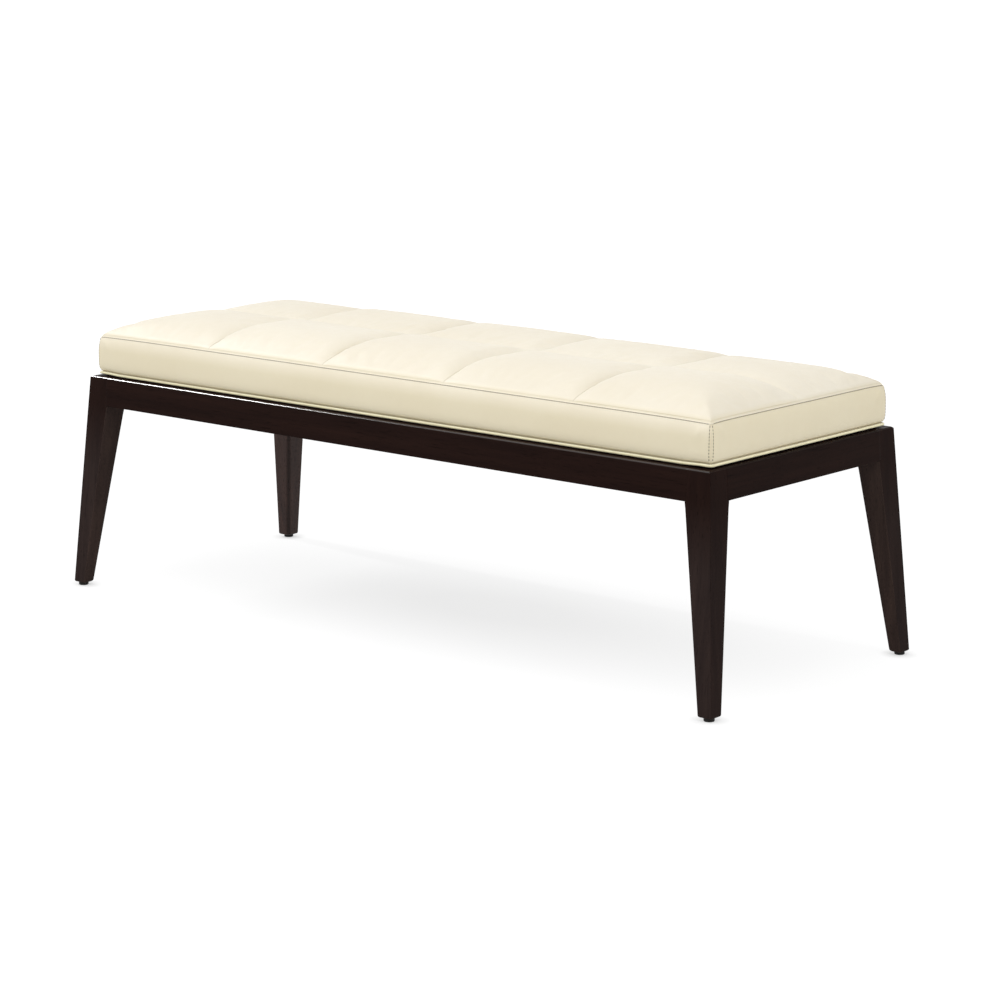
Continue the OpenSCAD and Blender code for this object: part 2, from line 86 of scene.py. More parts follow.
# %% Set the camera
azimuth, pitch, roll = np.radians([39.7081, 11.6527, 0.2422])
back = np.array([np.sin(azimuth) * np.cos(pitch), -np.cos(azimuth) * np.cos(pitch), np.sin(pitch)])
level = np.array([np.cos(azimuth), np.sin(azimuth), 0.0])
upright = np.cross(back, level)
right = np.cos(roll) * level + np.sin(roll) * upright
up = np.cos(roll) * upright - np.sin(roll) * level
place = np.array([0, 0, 0.22]) + 4.68108 * back + 0.04014 * right - 0.03322 * up
camera = bpy.data.objects.new("camera", bpy.data.cameras.new("camera"))
camera.data.sensor_width, camera.data.lens = 36, 36 * 3.046065
turn = np.eye(4)
turn[:3] = np.column_stack([right, up, back, place])
camera.matrix_world = Matrix(turn.tolist())
scene.collection.objects.link(camera)
scene.camera = camera
scene.view_settings.view_transform = "Standard"
print("camera at", np.round(place, 3))

# %% [markdown]
# Materials are small networks of shader nodes. These helpers keep the networks short: a value
# on its way through the nodes can be added and multiplied like a number, and each step adds a
# node. Wires drawn by hand in the editor would do the same, but a script can be read from top
# to bottom.

# %% Helpers for shader nodes
class Signal:
    """A value that leaves a shader node. An index or a name picks another output of that node."""

    def __init__(self, tree, socket):
        self.tree, self.socket = tree, socket

    def __getitem__(self, output):
        return Signal(self.tree, self.socket.node.outputs[output])

    def __add__(self, other):
        return self.math("ADD", other)

    def __sub__(self, other):
        return self.math("SUBTRACT", other)

    def __mul__(self, other):
        return self.math("MULTIPLY", other)

    def math(self, operation, other=0.0, **settings):
        """One step of arithmetic, such as MAXIMUM."""
        return put(self.tree, "Math", {0: self, 1: other}, operation=operation, **settings)

    def vector(self, operation, other=(0, 0, 0)):
        """One step of arithmetic on vectors; for SCALE, the other one is a number."""
        inputs = {0: self, 3 if operation == "SCALE" else 1: other}
        result = "Value" if operation in ("LENGTH", "DISTANCE") else "Vector"
        return put(self.tree, "VectorMath", inputs, operation=operation)[result]

    def parts(self):
        """The x, y and z of a vector."""
        return put(self.tree, "SeparateXYZ", {0: self})

    def spread(self, low, high, start=0.0, stop=1.0):
        """Carries the range low to high over to start to stop, and holds the value there."""
        inputs = {"Value": self, "From Min": low, "From Max": high, "To Min": start, "To Max": stop}
        return put(self.tree, "MapRange", inputs)

    def noise(self, scale, detail=2.0, rough=0.5):
        """Soft random patches, about 1/scale metres across."""
        inputs = {"Vector": self, "Scale": scale, "Detail": detail, "Roughness": rough}
        return put(self.tree, "TexNoise", inputs)


def feed(tree, node, inputs):
    """Joins a node's inputs to the signals given for them, and sets the plain values. A colour
    is given as three numbers and gets an alpha of 1."""
    for label, value in inputs.items():
        socket = node.inputs[label]
        if isinstance(value, Signal):
            tree.links.new(value.socket, socket)
        else:
            socket.default_value = (*value, 1) if socket.type == "RGBA" else value


def put(tree, kind, inputs=None, **settings):
    """Adds a shader node of a kind, such as Math or Mapping, and returns its first output."""
    new = tree.nodes.new("ShaderNode" + kind)
    for name, value in settings.items():
        setattr(new, name, value)
    feed(tree, new, inputs or {})
    return Signal(tree, new.outputs[0]) if len(new.outputs) else None


def blend(share, a, b, kind="MIX"):
    """Colour a where share is 0; where it is 1, colour b, or with MULTIPLY a times b."""
    tree = next(each.tree for each in (share, a, b) if isinstance(each, Signal))
    return put(tree, "Mix", {0: share, 6: a, 7: b}, data_type="RGBA", blend_type=kind)[2]


def either(share, a, b):
    """Shader a where share is 0, and shader b where it is 1."""
    return put(share.tree, "MixShader", {0: share, 1: a, 2: b})


print("shader helpers ready")

# %% [markdown]
# The studio is a white room with a pale floor. The room is bright to the camera and to
# reflections, so the background is white and the lacquer has something to mirror, but it
# lights the bench at a plain level. A white backdrop sheet would do it too, and would need
# far more light on it than on the bench.

# %% Light
def seen_directly(tree):
    """1 for camera, glossy and transmission rays, which show the background, and 0 for others."""
    path = put(tree, "LightPath")
    rays = path["Is Camera Ray"] + path["Is Glossy Ray"]
    return rays.math("ADD", path["Is Transmission Ray"], use_clamp=True)


def empty_tree(owner):
    """The shader tree of a world or a material, with nothing in it."""
    owner.use_nodes = True
    owner.node_tree.nodes.clear()
    return owner.node_tree


def paint_world(room_light):
    """White where it is seen, and a level of room_light where it lights the bench."""
    scene.world = bpy.data.worlds.new("studio")
    tree = empty_tree(scene.world)
    light, white = (put(tree, "Background", {"Color": (1, 1, 1), "Strength": strength})
                    for strength in (room_light, 1.0))
    put(tree, "OutputWorld", {"Surface": either(seen_directly(tree), light, white)})


def add_softbox(name, at, aim, size, watts):
    """A rectangular lamp at a point, turned so that it shines towards aim."""
    lamp = bpy.data.lights.new(name, "AREA")
    lamp.shape, lamp.size, lamp.size_y, lamp.energy = "RECTANGLE", *size, watts
    holder = bpy.data.objects.new(name, lamp)
    scene.collection.objects.link(holder)
    holder.location = at
    holder.rotation_euler = (Vector(at) - Vector(aim)).to_track_quat("Z", "Y").to_euler()


paint_world(room_light=0.48)
add_softbox("softbox_overhead", (0.3, -0.5, 2.6), (0.1, 0.0, 0.3), (2.2, 1.6), 26)
add_softbox("softbox_left", (-3.35, 0.1, 3.15), (-0.1, 0.0, 0.35), (0.2, 0.85), 47)
add_softbox("softbox_front", (-1.2, -3.6, 1.7), (-0.5, 0.0, 0.3), (2.2, 1.6), 33)
add_softbox("softbox_right", (3.4, -0.5, 1.4), (0.3, 0.0, 0.35), (1.4, 1.2), 24)

# %% [markdown]
# The floor is one large square. Part of it glows to the camera, so the bench's shadow shows
# softly. The glow is weaker under the bench and beside each foot, which paints shade there.
# A shadow catcher would give a clean background too, but only in a compositor.

# %% Floor
def floor_glow(tree, under_share, near_share, plain_from, plain_to):
    """The glowing share: least under the bench and less beside each foot, which paints shade there, and all of
    it far away.
    """
    where = put(tree, "TexCoord")["Object"]
    oval = put(tree, "Mapping", {"Vector": where, "Location": (0, -0.07, 0), "Scale": (0.42, 1, 1)})
    # painted shade: less glow in an oval under the bench, so the floor there shows darker
    near = oval.vector("LENGTH").spread(0.06, 0.36, under_share, near_share)
    far = where.vector("LENGTH").spread(plain_from, plain_to)
    # painted shade: less glow beside each foot, so the floor there shows darker
    painted_contact_shade = where.vector("ABSOLUTE").vector("DISTANCE", (*foot, 0)).spread(0.008, 0.045, 0.5, 1.0)
    return near.math("MAXIMUM", far).math("MINIMUM", painted_contact_shade)


def pale_floor(reach, glow, **shares):
    """A square floor that runs into the background. From below it is clear, so that the
    underside of the bench can be seen."""
    mesh = bpy.data.meshes.new("studio_floor")
    corners = [(-reach, -reach, 0), (reach, -reach, 0), (reach, reach, 0), (-reach, reach, 0)]
    mesh.from_pydata(corners, [], [(0, 1, 2, 3)])
    floor = bpy.data.objects.new("studio_floor", mesh)
    scene.collection.objects.link(floor)
    material = bpy.data.materials.new("pale floor")
    tree = empty_tree(material)
    matt = put(tree, "BsdfDiffuse", {"Color": (0.82, 0.82, 0.82)})
    white = put(tree, "Emission", {"Color": (1, 1, 1), "Strength": glow})
    lit = either(seen_directly(tree) * floor_glow(tree, **shares), matt, white)
    surface = either(put(tree, "NewGeometry")["Backfacing"], lit, put(tree, "BsdfTransparent"))
    put(tree, "OutputMaterial", {"Surface": surface})
    mesh.materials.append(material)


pale_floor(reach=30.0, glow=1.12, under_share=0.66, near_share=0.84, plain_from=0.72, plain_to=2.4)
print("floor laid")

# %% [markdown]
# Every new piece is a grid of points. A leather panel, a side band and the cloth underneath
# are shells: an outer grid and an inner one, joined round their rim. Legs, rails and the welt
# are rings of points joined one to the next. Extruding by hand gives the same meshes, but a
# grid keeps the distance to each seam at every point, and the materials use that later.

# %% Helpers for meshes
def points_at(x, y, z):
    """Points from their x, y and z, each of which may be one number for a whole row or grid."""
    return np.stack(np.broadcast_arrays(x, y, z), -1)


def grid_faces(rows, columns, loop=False):
    """Four-sided faces between neighbours of a grid; with loop, the last column meets the first."""
    j, i = np.meshgrid(np.arange(rows - 1), np.arange(columns if loop else columns - 1), indexing="ij")
    a, b = j * columns + i, j * columns + (i + 1) % columns
    return np.stack([a, b, b + columns, a + columns], -1).reshape(-1, 4)


def rim_of(rows, columns):
    """The numbers of a grid's edge points, once round."""
    number = np.arange(rows * columns).reshape(rows, columns)
    return np.concatenate([number[0, :-1], number[:-1, -1], number[-1, :0:-1], number[:0:-1, 0]])


def shell(outer, inner):
    """A closed sheet: the outer grid, the inner grid turned over, and a strip round the rim."""
    rows, columns = outer.shape[:2]
    count, rim = rows * columns, rim_of(rows, columns)
    after = np.roll(rim, -1)
    faces = grid_faces(rows, columns)
    strip = np.stack([rim, rim + count, after + count, after], -1)
    points = np.concatenate([outer.reshape(-1, 3), inner.reshape(-1, 3)])
    return points, np.concatenate([faces, faces[:, ::-1] + count, strip]).tolist()


def rings(loops):
    """Rings of points joined one to the next, and closed at both ends by fans of triangles."""
    count, around = loops.shape[:2]
    points = np.concatenate([loops.reshape(-1, 3), loops[[0, -1]].mean(1)])
    first = np.arange(around)
    after, tip = np.roll(first, -1), np.full(around, count * around)
    last = (count - 1) * around
    fans = [np.stack([tip, after, first], -1), np.stack([tip + 1, first + last, after + last], -1)]
    return points, grid_faces(count, around, True).tolist() + np.concatenate(fans).tolist()


def volume_of(mesh):
    """Volume inside a closed mesh: the sum of a.(b x c) / 6 over its triangles."""
    mesh.calc_loop_triangles()
    corners = np.empty(len(mesh.loop_triangles) * 3, np.int32)
    mesh.loop_triangles.foreach_get("vertices", corners)
    places = np.empty(len(mesh.vertices) * 3)
    mesh.vertices.foreach_get("co", places)
    a, b, c = places.reshape(-1, 3)[corners.reshape(-1, 3)].transpose(1, 0, 2)
    return float(np.einsum("ij,ij->i", a, np.cross(b, c)).sum() / 6)


def closed_mesh(name, points, faces):
    """A mesh whose faces look outwards, so that its volume is positive."""
    mesh = bpy.data.meshes.new(name)
    mesh.from_pydata(points.tolist(), [], faces)
    if volume_of(mesh) < 0:
        mesh.flip_normals()
    return mesh


def build(name, shape, material, nodes=(), fields=None, uv=None, crisp=False):
    """Makes a piece from points and faces, and sets it in place of CAD nodes."""
    mesh = closed_mesh(name, *shape)
    mesh.shade_smooth()
    for label, values in (fields or {}).items():
        data = mesh.attributes.new(label, "FLOAT", "POINT").data
        data.foreach_set("value", np.ravel(values).astype(np.float32))
    if uv is not None:
        corner = np.empty(len(mesh.loops), np.int32)
        mesh.loops.foreach_get("vertex_index", corner)
        mesh.uv_layers.new(name="UVMap").data.foreach_set("uv", uv[corner].ravel().astype(np.float32))
    mesh.materials.append(material)
    piece = bpy.data.objects.new(name, mesh)
    scene.collection.objects.link(piece)
    if crisp:
        piece.modifiers.new("flat_faces_first", "WEIGHTED_NORMAL").weight = 100
    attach(piece, "root")
    if nodes:
        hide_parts(*nodes)
    return piece


print("mesh helpers ready")

# %% [markdown]
# Three effects come back in several finishes. Grain gives wood its long streaks and short
# open pores, drift is a slow change of shade, which keeps a large surface from looking
# printed, and hide grain is the pebbled skin of leather. They are node groups, so each
# finish only sets its own numbers.

# %% Effects that several finishes share
def new_group(name, number, value, *results):
    """A node group that takes a vector and one number, and gives numbers."""
    tree = bpy.data.node_groups.new(name, "ShaderNodeTree")
    sockets = [("Vector", "INPUT", "Vector"), (number, "INPUT", "Float")]
    sockets += [(label, "OUTPUT", "Float") for label in results]
    for label, way, kind in sockets:
        socket = tree.interface.new_socket(label, in_out=way, socket_type="NodeSocket" + kind)
        if label == number:
            socket.default_value = value
    given = tree.nodes.new("NodeGroupInput").outputs
    return tree, Signal(tree, given["Vector"]), Signal(tree, given[number]), tree.nodes.new("NodeGroupOutput")


def make_wood_grain():
    """Streaks: noise on coordinates squeezed along X. Pores: finer noise kept where it peaks."""
    tree, vector, fineness, result = new_group("wood grain", "Fineness", 1.0, "Streak", "Pore")
    scaled = vector.vector("SCALE", fineness)
    bent = scaled.vector("ADD", put(tree, "CombineXYZ", {1: scaled.noise(5.0, 1.0) * 0.02}))
    long, short = (put(tree, "Mapping", {"Vector": bent, "Scale": scale})
                   for scale in ((2.2, 75, 75), (26, 950, 950)))
    feed(tree, result, {"Streak": long.noise(1.0, 5.0, 0.6).spread(0.3, 0.7),
                        "Pore": short.noise(1.0, 1.0).spread(0.62, 0.72)})
    return tree


def make_drift():
    """Slow patches: noise about Size metres across, stretched to run from 0 to 1."""
    tree, vector, size, result = new_group("slow drift", "Size", 0.1, "Shade")
    feed(tree, result, {"Shade": vector.noise(size.math("POWER", -1.0), 3.0).spread(0.3, 0.7)})
    return tree


def make_hide_grain():
    """Pebbles about a millimetre wide with creases between them, and finer skin pores on top."""
    tree, vector, pebble, result = new_group("hide grain", "Pebble", 0.0009, "Height")
    bent = vector.vector("ADD", vector.noise(240.0).vector("SCALE", 0.0012))
    inputs = {"Vector": bent, "Scale": pebble.math("POWER", -1.0)}
    cells = put(tree, "TexVoronoi", inputs, feature="DISTANCE_TO_EDGE")
    feed(tree, result, {"Height": cells["Distance"].spread(0.0, 0.22) + vector.noise(2600.0, 1.0) * 0.35})
    return tree


wood_grain, slow_drift, hide_grain = make_wood_grain(), make_drift(), make_hide_grain()
print("node groups:", [g.name for g in bpy.data.node_groups])

# %% [markdown]
# A finish is a Principled shader with its colour, roughness and bump driven by those effects.
# Numbers that are the same all over stay on the shader's own sockets.

# %% Start and end of a finish
def spaced(names):
    """Socket names, with spaces where Python needs underscores."""
    return {label.replace("_", " "): value for label, value in names.items()}


def start_finish(name, **constants):
    """A new material with one Principled shader; returns it and the place on the bench."""
    material = bpy.data.materials.new(name)
    material.use_nodes = True
    tree = material.node_tree
    feed(tree, tree.nodes["Principled BSDF"], spaced(constants))
    return material, put(tree, "TexCoord")["Object"]


def end_finish(material, colour, rough, height=None, depth=0.0, **others):
    """Feeds the shader its signals, and bumps it by height times depth, in metres."""
    tree = material.node_tree
    if height:
        others["Normal"] = put(tree, "Bump", {"Height": height, "Distance": depth, "Strength": 1.0})
    others.update(Base_Color=colour, Roughness=rough)
    feed(tree, tree.nodes["Principled BSDF"], spaced(others))
    return material


def effect(group, where, **number):
    """Places a node group and returns its first output."""
    return put(where.tree, "Group", {"Vector": where, **number}, node_tree=group)


def drift(where, size):
    """Slow patches about size metres across."""
    return effect(slow_drift, where, Size=size)


def grain_along(where, turned, fineness=1.0):
    """Wood grain that is turned to run along a board."""
    along = put(where.tree, "Mapping", {"Vector": where, "Rotation": turned})
    return effect(wood_grain, along, Fineness=fineness)


print("finish helpers ready")

# %% [markdown]
# The frame is stained almost black and sealed with a satin lacquer. The stain sinks deeper
# into the pores, so they are darker, and the streaks between them show a little red. The
# grain follows each board, so the legs, the long rails and the end rails have a finish each,
# with the pattern turned. Painting the boards one dark colour would lose the wood. Light and
# shade are also painted into the stain: faces towards the ends and the legs' inner corners are
# painted darker, and the legs' lower parts and inner faces paler, as painted light from the
# floor. The back left leg has its own copy of the leg finish, painted lighter, with more lacquer.

# %% Dark wood
STAINS = (0.0088, 0.0037, 0.0029), (0.0122, 0.0050, 0.0038), (0.0165, 0.0068, 0.0049)
PAINTED_SHADE_BLACK, PORES, PLAIN = (0.004, 0.001, 0.0005), (0.003, 0.0016, 0.0014), (1.0, 1.0, 1.0)
near_post = (0.6, 0.21)


def stain_with_painted_light(plain, where, normal, endwise, painted_floor_light, painted_inner_light, painted_end_shade):
    """Paints light and shade into a plain stain: painted shade on faces towards the ends, painted
    light from the floor by painted_floor_light near the floor and by painted_inner_light on faces
    that look inwards, where normal times place is negative, and painted shade where two of them meet."""
    height, inward = where.parts()[2], normal.vector("MULTIPLY", where).parts()
    # painted shade: faces towards the ends are blended towards black
    stain = blend(endwise.spread(0.5, 0.9, 0.0, painted_end_shade), plain, PAINTED_SHADE_BLACK)
    # painted light from the floor: the stain is paler below 0.2 to 0.3 m, less so on faces towards the ends
    low = height.spread(0.20, 0.30, 1.0, 0.0) * endwise.spread(0.5, 0.9, 1.0, 0.6)
    stain = blend(low, stain, painted_floor_light, "MULTIPLY")
    # painted light from the floor: faces that look inwards take a paler stain
    inner = inward[0].math("MINIMUM", inward[1]).spread(-0.12, -0.08, 1.0, 0.0)
    stain = blend(inner, stain, blend(1.0, plain, painted_inner_light, "MULTIPLY"))
    # painted shade: darker in the legs' rounded inner corners, where the two inward faces meet
    both = (inward[0] * (-1 / near_post[0])).math("MINIMUM", inward[1] * (-1 / near_post[1]))
    return blend(both.spread(0.2, 0.6, 0.0, 0.6), stain, PAINTED_SHADE_BLACK)


def lacquer(where, facing, endwise, pore, thin):
    """How much coat shows: a share thin on rubbed faces, more on the ends' ledges, none on other
    flat tops, and all of it on the sanded edge, whose normals are half upward."""
    at = where.parts()
    edge = (facing[2].spread(0.5, 0.65) * facing[2].spread(0.90, 0.98, 1.0, 0.0)
            * endwise.spread(0.1, 0.4, 1.0, 0.04) * at[2].spread(frame_top - 0.006, frame_top - 0.004))
    upward = facing[2].spread(0.9, 0.97)
    ledge = at[0].math("ABSOLUTE").spread(0.600, 0.602, 0.0, 7.0) * upward
    shown = ledge.math("MAXIMUM", upward.spread(0.0, 1.0, 1.0, 0.0))
    return (pore.spread(0.0, 1.0, thin, 0.3 * thin) * shown).math("ADD", edge, use_clamp=True)


def make_dark_wood(name, turned, shade, painted_floor_light=PLAIN, painted_inner_light=PLAIN, painted_end_shade=0.38, thin=0.025):
    """Espresso stain under satin lacquer, with the grain turned to run along the board, and with painted light
    and shade on its faces.
    """
    material, where = start_finish(name, Specular_IOR_Level=0.012, Coat_Roughness=0.14, Coat_IOR=1.5)
    grain, patch = grain_along(where, turned), drift(where, 0.12)
    dark, mid, light = (np.multiply(shade, colour) for colour in STAINS)
    stain = blend(patch * 0.35, blend(grain["Streak"], dark, light), mid)
    stain = blend(grain["Pore"] * 0.6, stain, PORES)
    normal = put(where.tree, "NewGeometry")["Normal"]
    facing = normal.parts()
    endwise = facing[0].math("ABSOLUTE")
    stain = stain_with_painted_light(stain, where, normal, endwise, painted_floor_light, painted_inner_light, painted_end_shade)
    coat = lacquer(where, facing, endwise, grain["Pore"], thin)
    return end_finish(material, stain, patch.spread(0.0, 1.0, 0.34, 0.44), grain["Pore"] * -1.0, 0.00004,
                      Coat_Weight=coat)


UPWARDS, LENGTHWISE, CROSSWISE = (0, np.pi / 2, 0), (0, 0, 0), (0, 0, np.pi / 2)
upright_wood = make_dark_wood("dark wood upright", UPWARDS, (1.2, 1.3, 1.35), painted_floor_light=(1.92, 2.8, 3.25),
                              painted_inner_light=(2.85, 4.1, 4.5), painted_end_shade=0.25)
# The back left leg's copy has a paler stain, which paints light onto it, and more lacquer.
painted_lit_glossy_upright_wood = make_dark_wood("dark wood upright, full lacquer, painted lighter", UPWARDS, (3.9, 4.8, 5.2),
                                    painted_end_shade=0.0, thin=0.3)
long_wood = make_dark_wood("dark wood long", LENGTHWISE, (1.2, 1.3, 1.35))
# The end rails' stain is a shade darker than the long rails', which paints their faces towards the ends darker,
# as on the legs.
cross_wood = make_dark_wood("dark wood across", CROSSWISE, (1.05, 1.1, 1.1), painted_end_shade=0.0)
print("dark wood finishes made")

# %% [markdown]
# The leather is smooth and cream coloured, with a fine grain. Shade is painted into it in
# the seams, along the stitches, in the cross seams near the outer edge and in the crease above
# the welt, and light is painted onto it where it looks up and on the upper part of the front
# and back bands. The panels and bands carry the distances to their nearest seam and to these
# dark lines, so the painted shade follows the sewing. A photograph of leather would need an
# image, and this needs none.

# %% Leather
CREAMS = (0.795, 0.708, 0.505), (0.828, 0.748, 0.548), (0.76, 0.67, 0.46)


def make_leather(name, pebble, tint, sheen=0.12):
    """Cream leather: grain, slow drift, painted shade along the seams and stitches, and painted light where it
    faces up and below the top seam of the front and back bands.
    """
    material, where = start_finish(name, Specular_IOR_Level=0.5, Sheen_Weight=sheen, Sheen_Roughness=0.45)
    patch, fine = drift(where, 0.16), drift(where, 0.012)
    seam, stitch = (put(where.tree, "Attribute", attribute_name=field)["Fac"]
                    for field in ("to_seam", "to_stitch_and_shade_line"))
    pale, deep, worn = (np.multiply(tint, colour) for colour in CREAMS)
    cream = blend(fine * 0.12, blend(patch, pale, deep), worn)
    # painted shade: darker within 3 mm of a seam, and more within half a millimetre
    cream = blend(seam.spread(0.0, 0.003, 0.08, 0.0), cream, (0.56, 0.49, 0.31))
    cream = blend(seam.spread(0.0001, 0.0005, 0.15, 0.0), cream, (0.40, 0.34, 0.19))
    facing, height = put(where.tree, "NewGeometry")["Normal"].parts(), where.parts()[2]
    # painted sheen: faces that look up are made paler and bluer
    painted_top_sheen = facing[2].spread(0.3, 0.85)
    cream = blend(painted_top_sheen, cream, (0.955, 0.98, 1.11), "MULTIPLY")
    # painted light: the front and back bands are paler and bluer just below the top seam
    painted_light_below_seam = (height.spread(0.384, 0.4045) * facing[1].math("ABSOLUTE").spread(0.5, 0.8)
                  * height.spread(0.4055, 0.4065, 1.0, 0.0) * painted_top_sheen.spread(0.0, 1.0, 1.0, 0.0))
    cream = blend(painted_light_below_seam, cream, (1.10, 1.12, 1.24), "MULTIPLY")
    # painted shade: darker along the stitch rows, in the cross seams near the outer edge and in the crease
    # above the welt
    cream = blend(stitch.spread(0.0003, 0.0009, 0.32, 0.0), cream, (0.28, 0.20, 0.08))
    return end_finish(material, cream, fine.spread(0.0, 1.0, 0.42, 0.50),
                      effect(hide_grain, where, Pebble=pebble), 0.00005)


leather = make_leather("cream leather", 0.0011, (1.0, 1.0, 1.0))
# The welt's copy has a lighter tint, which paints light onto it, and more sheen.
painted_lit_welt_leather = make_leather("welt leather, painted lighter", 0.0008, (1.20, 1.24, 1.10), sheen=0.5)
print("leather finishes made")

# %% [markdown]
# A leg is square, splayed outwards on its two outer faces and tapered on its two inner ones.
# Beside the rails it is a plain post, and just under them it has a small shoulder and its
# inner corner is well rounded. It is made as a stack of rounded squares, one for each
# height. The rounding gives soft edges that catch the light, and a very small radius where
# the rails join leaves the hairline that a real joint shows. Bevelling a box would round
# all edges alike.

# %% Shape of a leg
def rounded(corners, radii, steps=6):
    """Replaces each corner by an arc that touches both its sides; the centre lies r / sin(half
    the angle) from the corner, between them."""
    corners, arcs = np.asarray(corners, float), []
    share = np.linspace(0, 1, steps + 1)[:, None]
    for here, before, after, r in zip(corners, np.roll(corners, 1, 0), np.roll(corners, -1, 0), radii):
        a, b = (before - here) / np.linalg.norm(before - here), (after - here) / np.linalg.norm(after - here)
        half = np.arccos(np.clip(a @ b, -1, 1)) / 2
        centre = here + (a + b) / np.linalg.norm(a + b) * r / np.sin(half)
        first, last = here + a * r / np.tan(half) - centre, here + b * r / np.tan(half) - centre
        angle = np.arccos(np.clip(first @ last / r**2, -1, 1))
        swept = np.sin((1 - share) * angle) * first + np.sin(share * angle) * last
        arcs.append(centre + swept / np.sin(angle))
    return np.concatenate(arcs)


def rail_outline(axis):
    """Across the rail and up: the foot of the leaning face, the top edge, and the two inner corners.
    The top edge is sanded over: a flat arc of 12 mm radius between two tight ones."""
    half, inner = frame_half[axis], frame_half[axis] - rail_thick
    low = half + lean[axis] * (frame_top - rail_bottom)
    corners = [(inner, rail_bottom), (low, rail_bottom), (half + lean[axis] * 0.0021, frame_top - 0.0021),
               (half - 0.0015, frame_top - 0.00075), (half - 0.0030, frame_top), (inner, frame_top)]
    return rounded(corners, [0.0008, 0.0008, 0.002, 0.012, 0.002, 0.0015])


def sanded_edge(axis):
    """The part of the outline round the top edge, from the face up to the flat top."""
    return rail_outline(axis)[14:35]


def outer_face(axis, z):
    """Half the frame's width: it grows with the lean, and follows the sanded edge at the top."""
    edge = sanded_edge(axis)
    leaning = frame_half[axis] + lean[axis] * (frame_top - z)
    return np.where(z > edge[0, 1], np.interp(z, edge[:, 1], edge[:, 0]), leaning)


def inner_face(axis, z):
    """A leg's inner face: upright beside the rail, then a small shoulder under it and a straight taper."""
    taper = (frame_half[axis] + splay[axis] - leg_foot - post[axis]) / (rail_bottom - foot_bottom)
    return np.where(z > rail_bottom, post[axis], post[axis] - shoulder_in[axis] + taper * (rail_bottom - z))


def eased(share):
    """A smooth step: 3t^2 - 2t^3, from 0 at t = 0 to 1 at t = 1."""
    share = np.clip(share, 0, 1)
    return share * share * (3 - 2 * share)


foot_round = 0.003


def leg_sections(z):
    """One rounded square a height: a corner is its centre plus a radius times (cos, sin)."""
    lift = np.clip(z - foot_end, 0, foot_round)
    inset = foot_round - np.sqrt(foot_round**2 - (foot_round - lift) ** 2)
    out_x, out_y = outer_face(0, z) - inset, outer_face(1, z) - inset
    in_x, in_y = inner_face(0, z) + inset, inner_face(1, z) + inset
    below_rail = eased((rail_bottom - z) / 0.012)
    soft, joint, inner = np.full_like(z, 0.0009), 0.00012 + 0.0008 * below_rail, 0.0006 + 0.0064 * below_rail
    sections = []
    for k, (cx, cy, r) in enumerate([
            (out_x, out_y, soft), (in_x, out_y, joint), (in_x, in_y, inner), (out_x, in_y, joint)]):
        angle = np.linspace(0, np.pi / 2, 7) + k * np.pi / 2
        sx, sy = np.sign(np.cos(angle[3])), np.sign(np.sin(angle[3]))
        x = (cx - sx * r)[:, None] + r[:, None] * np.cos(angle)
        y = (cy - sy * r)[:, None] + r[:, None] * np.sin(angle)
        sections.append(points_at(x, y, z[:, None]))
    return np.concatenate(sections, 1)


print("the sanded edge starts", np.round(frame_top - sanded_edge(1)[0, 1], 4), "below the top")

# %% Build the legs
foot_up = foot_end + foot_round * (1 - np.cos(np.linspace(0, np.pi / 2, 7)))
leg_levels = np.concatenate([
    sanded_edge(1)[::-1, 1], np.linspace(0.335, 0.3, 5), rail_bottom + np.array([1e-6, -1e-6, -0.0004]),
    np.linspace(0.2955, 0.0105, 36), foot_up[::-1]])
sections = leg_sections(leg_levels)
for corner, (sx, sy) in CORNERS.items():
    wood = painted_lit_glossy_upright_wood if corner == "back_left" else upright_wood
    build(f"wood_leg_{corner}", rings(sections * [sx, sy, 1]), wood, [f"leg_{corner}"], crisp=True)
print("legs:", sections.shape[0], "sections of", sections.shape[1], "points each")

# %% [markdown]
# A rail is one outline pulled along: its outer face leans with the legs, its top outer edge
# is sanded over, and its other edges are eased. Only its last third of a millimetre draws in,
# and that makes the hairline at the joint. A box with a bevel would be close, but its face
# wouldn't lie flush with the leaning leg.

# %% Rails
def rail_rings(axis, side):
    """The outline at steps along the rail, drawn in by a third of a millimetre at both ends."""
    outline, reach = rail_outline(axis), post[1 - axis]
    steps = np.concatenate([[-reach, -reach + 0.0003], np.linspace(-reach + 0.003, reach - 0.003, 41),
                            [reach - 0.0003, reach]])
    middle = (outline.max(0) + outline.min(0)) / 2
    drawn = np.where(np.abs(steps) > reach - 0.0001, 0.00035, 0.0)[:, None, None]
    placed = outline - drawn * np.sign(outline - middle)
    return across_and_along(axis, side * placed[..., 0], steps, placed[..., 1])


def across_and_along(axis, across, steps, z):
    """Joins places across a side and steps along it to points; axis is the side's outward one."""
    xy = (steps[:, None], across) if axis == 1 else (across, steps[:, None])
    return points_at(*xy, z)


for name, (axis, side) in SIDES.items():
    build(f"wood_rail_{name}", rings(rail_rings(axis, side)), long_wood if axis == 1 else cross_wood,
          [f"rail_{name}"], crisp=True)
print("rails: outline of", len(rail_outline(1)), "points")

# %% [markdown]
# The top of the cushion is one formula. The seams sewn across it rise slowly from the outer
# edge, and between them each panel puffs up like a small pillow: steeply from the outer seam,
# roundly from its sewn seams. No two stuffed panels are alike, so each has its own fullness.
# Displacing a flat sheet with a painted map is the other way, and it can't hold a crisp seam.

# %% Shape of the cushion's top
slack = 0.003


def rise(e, run, power):
    """1 - (1 - e / run)^power: 0 at the seam, 1 from e = run on."""
    return 1 - np.clip(1 - e / run, 0, 1) ** power


def from_cross_seam(x):
    """Distance to the nearest of the four seams sewn across the cushion."""
    seams = seat[0] * (2 * np.arange(1, panels[0]) / panels[0] - 1)
    return np.abs(np.asarray(x)[..., None] - seams).min(-1)


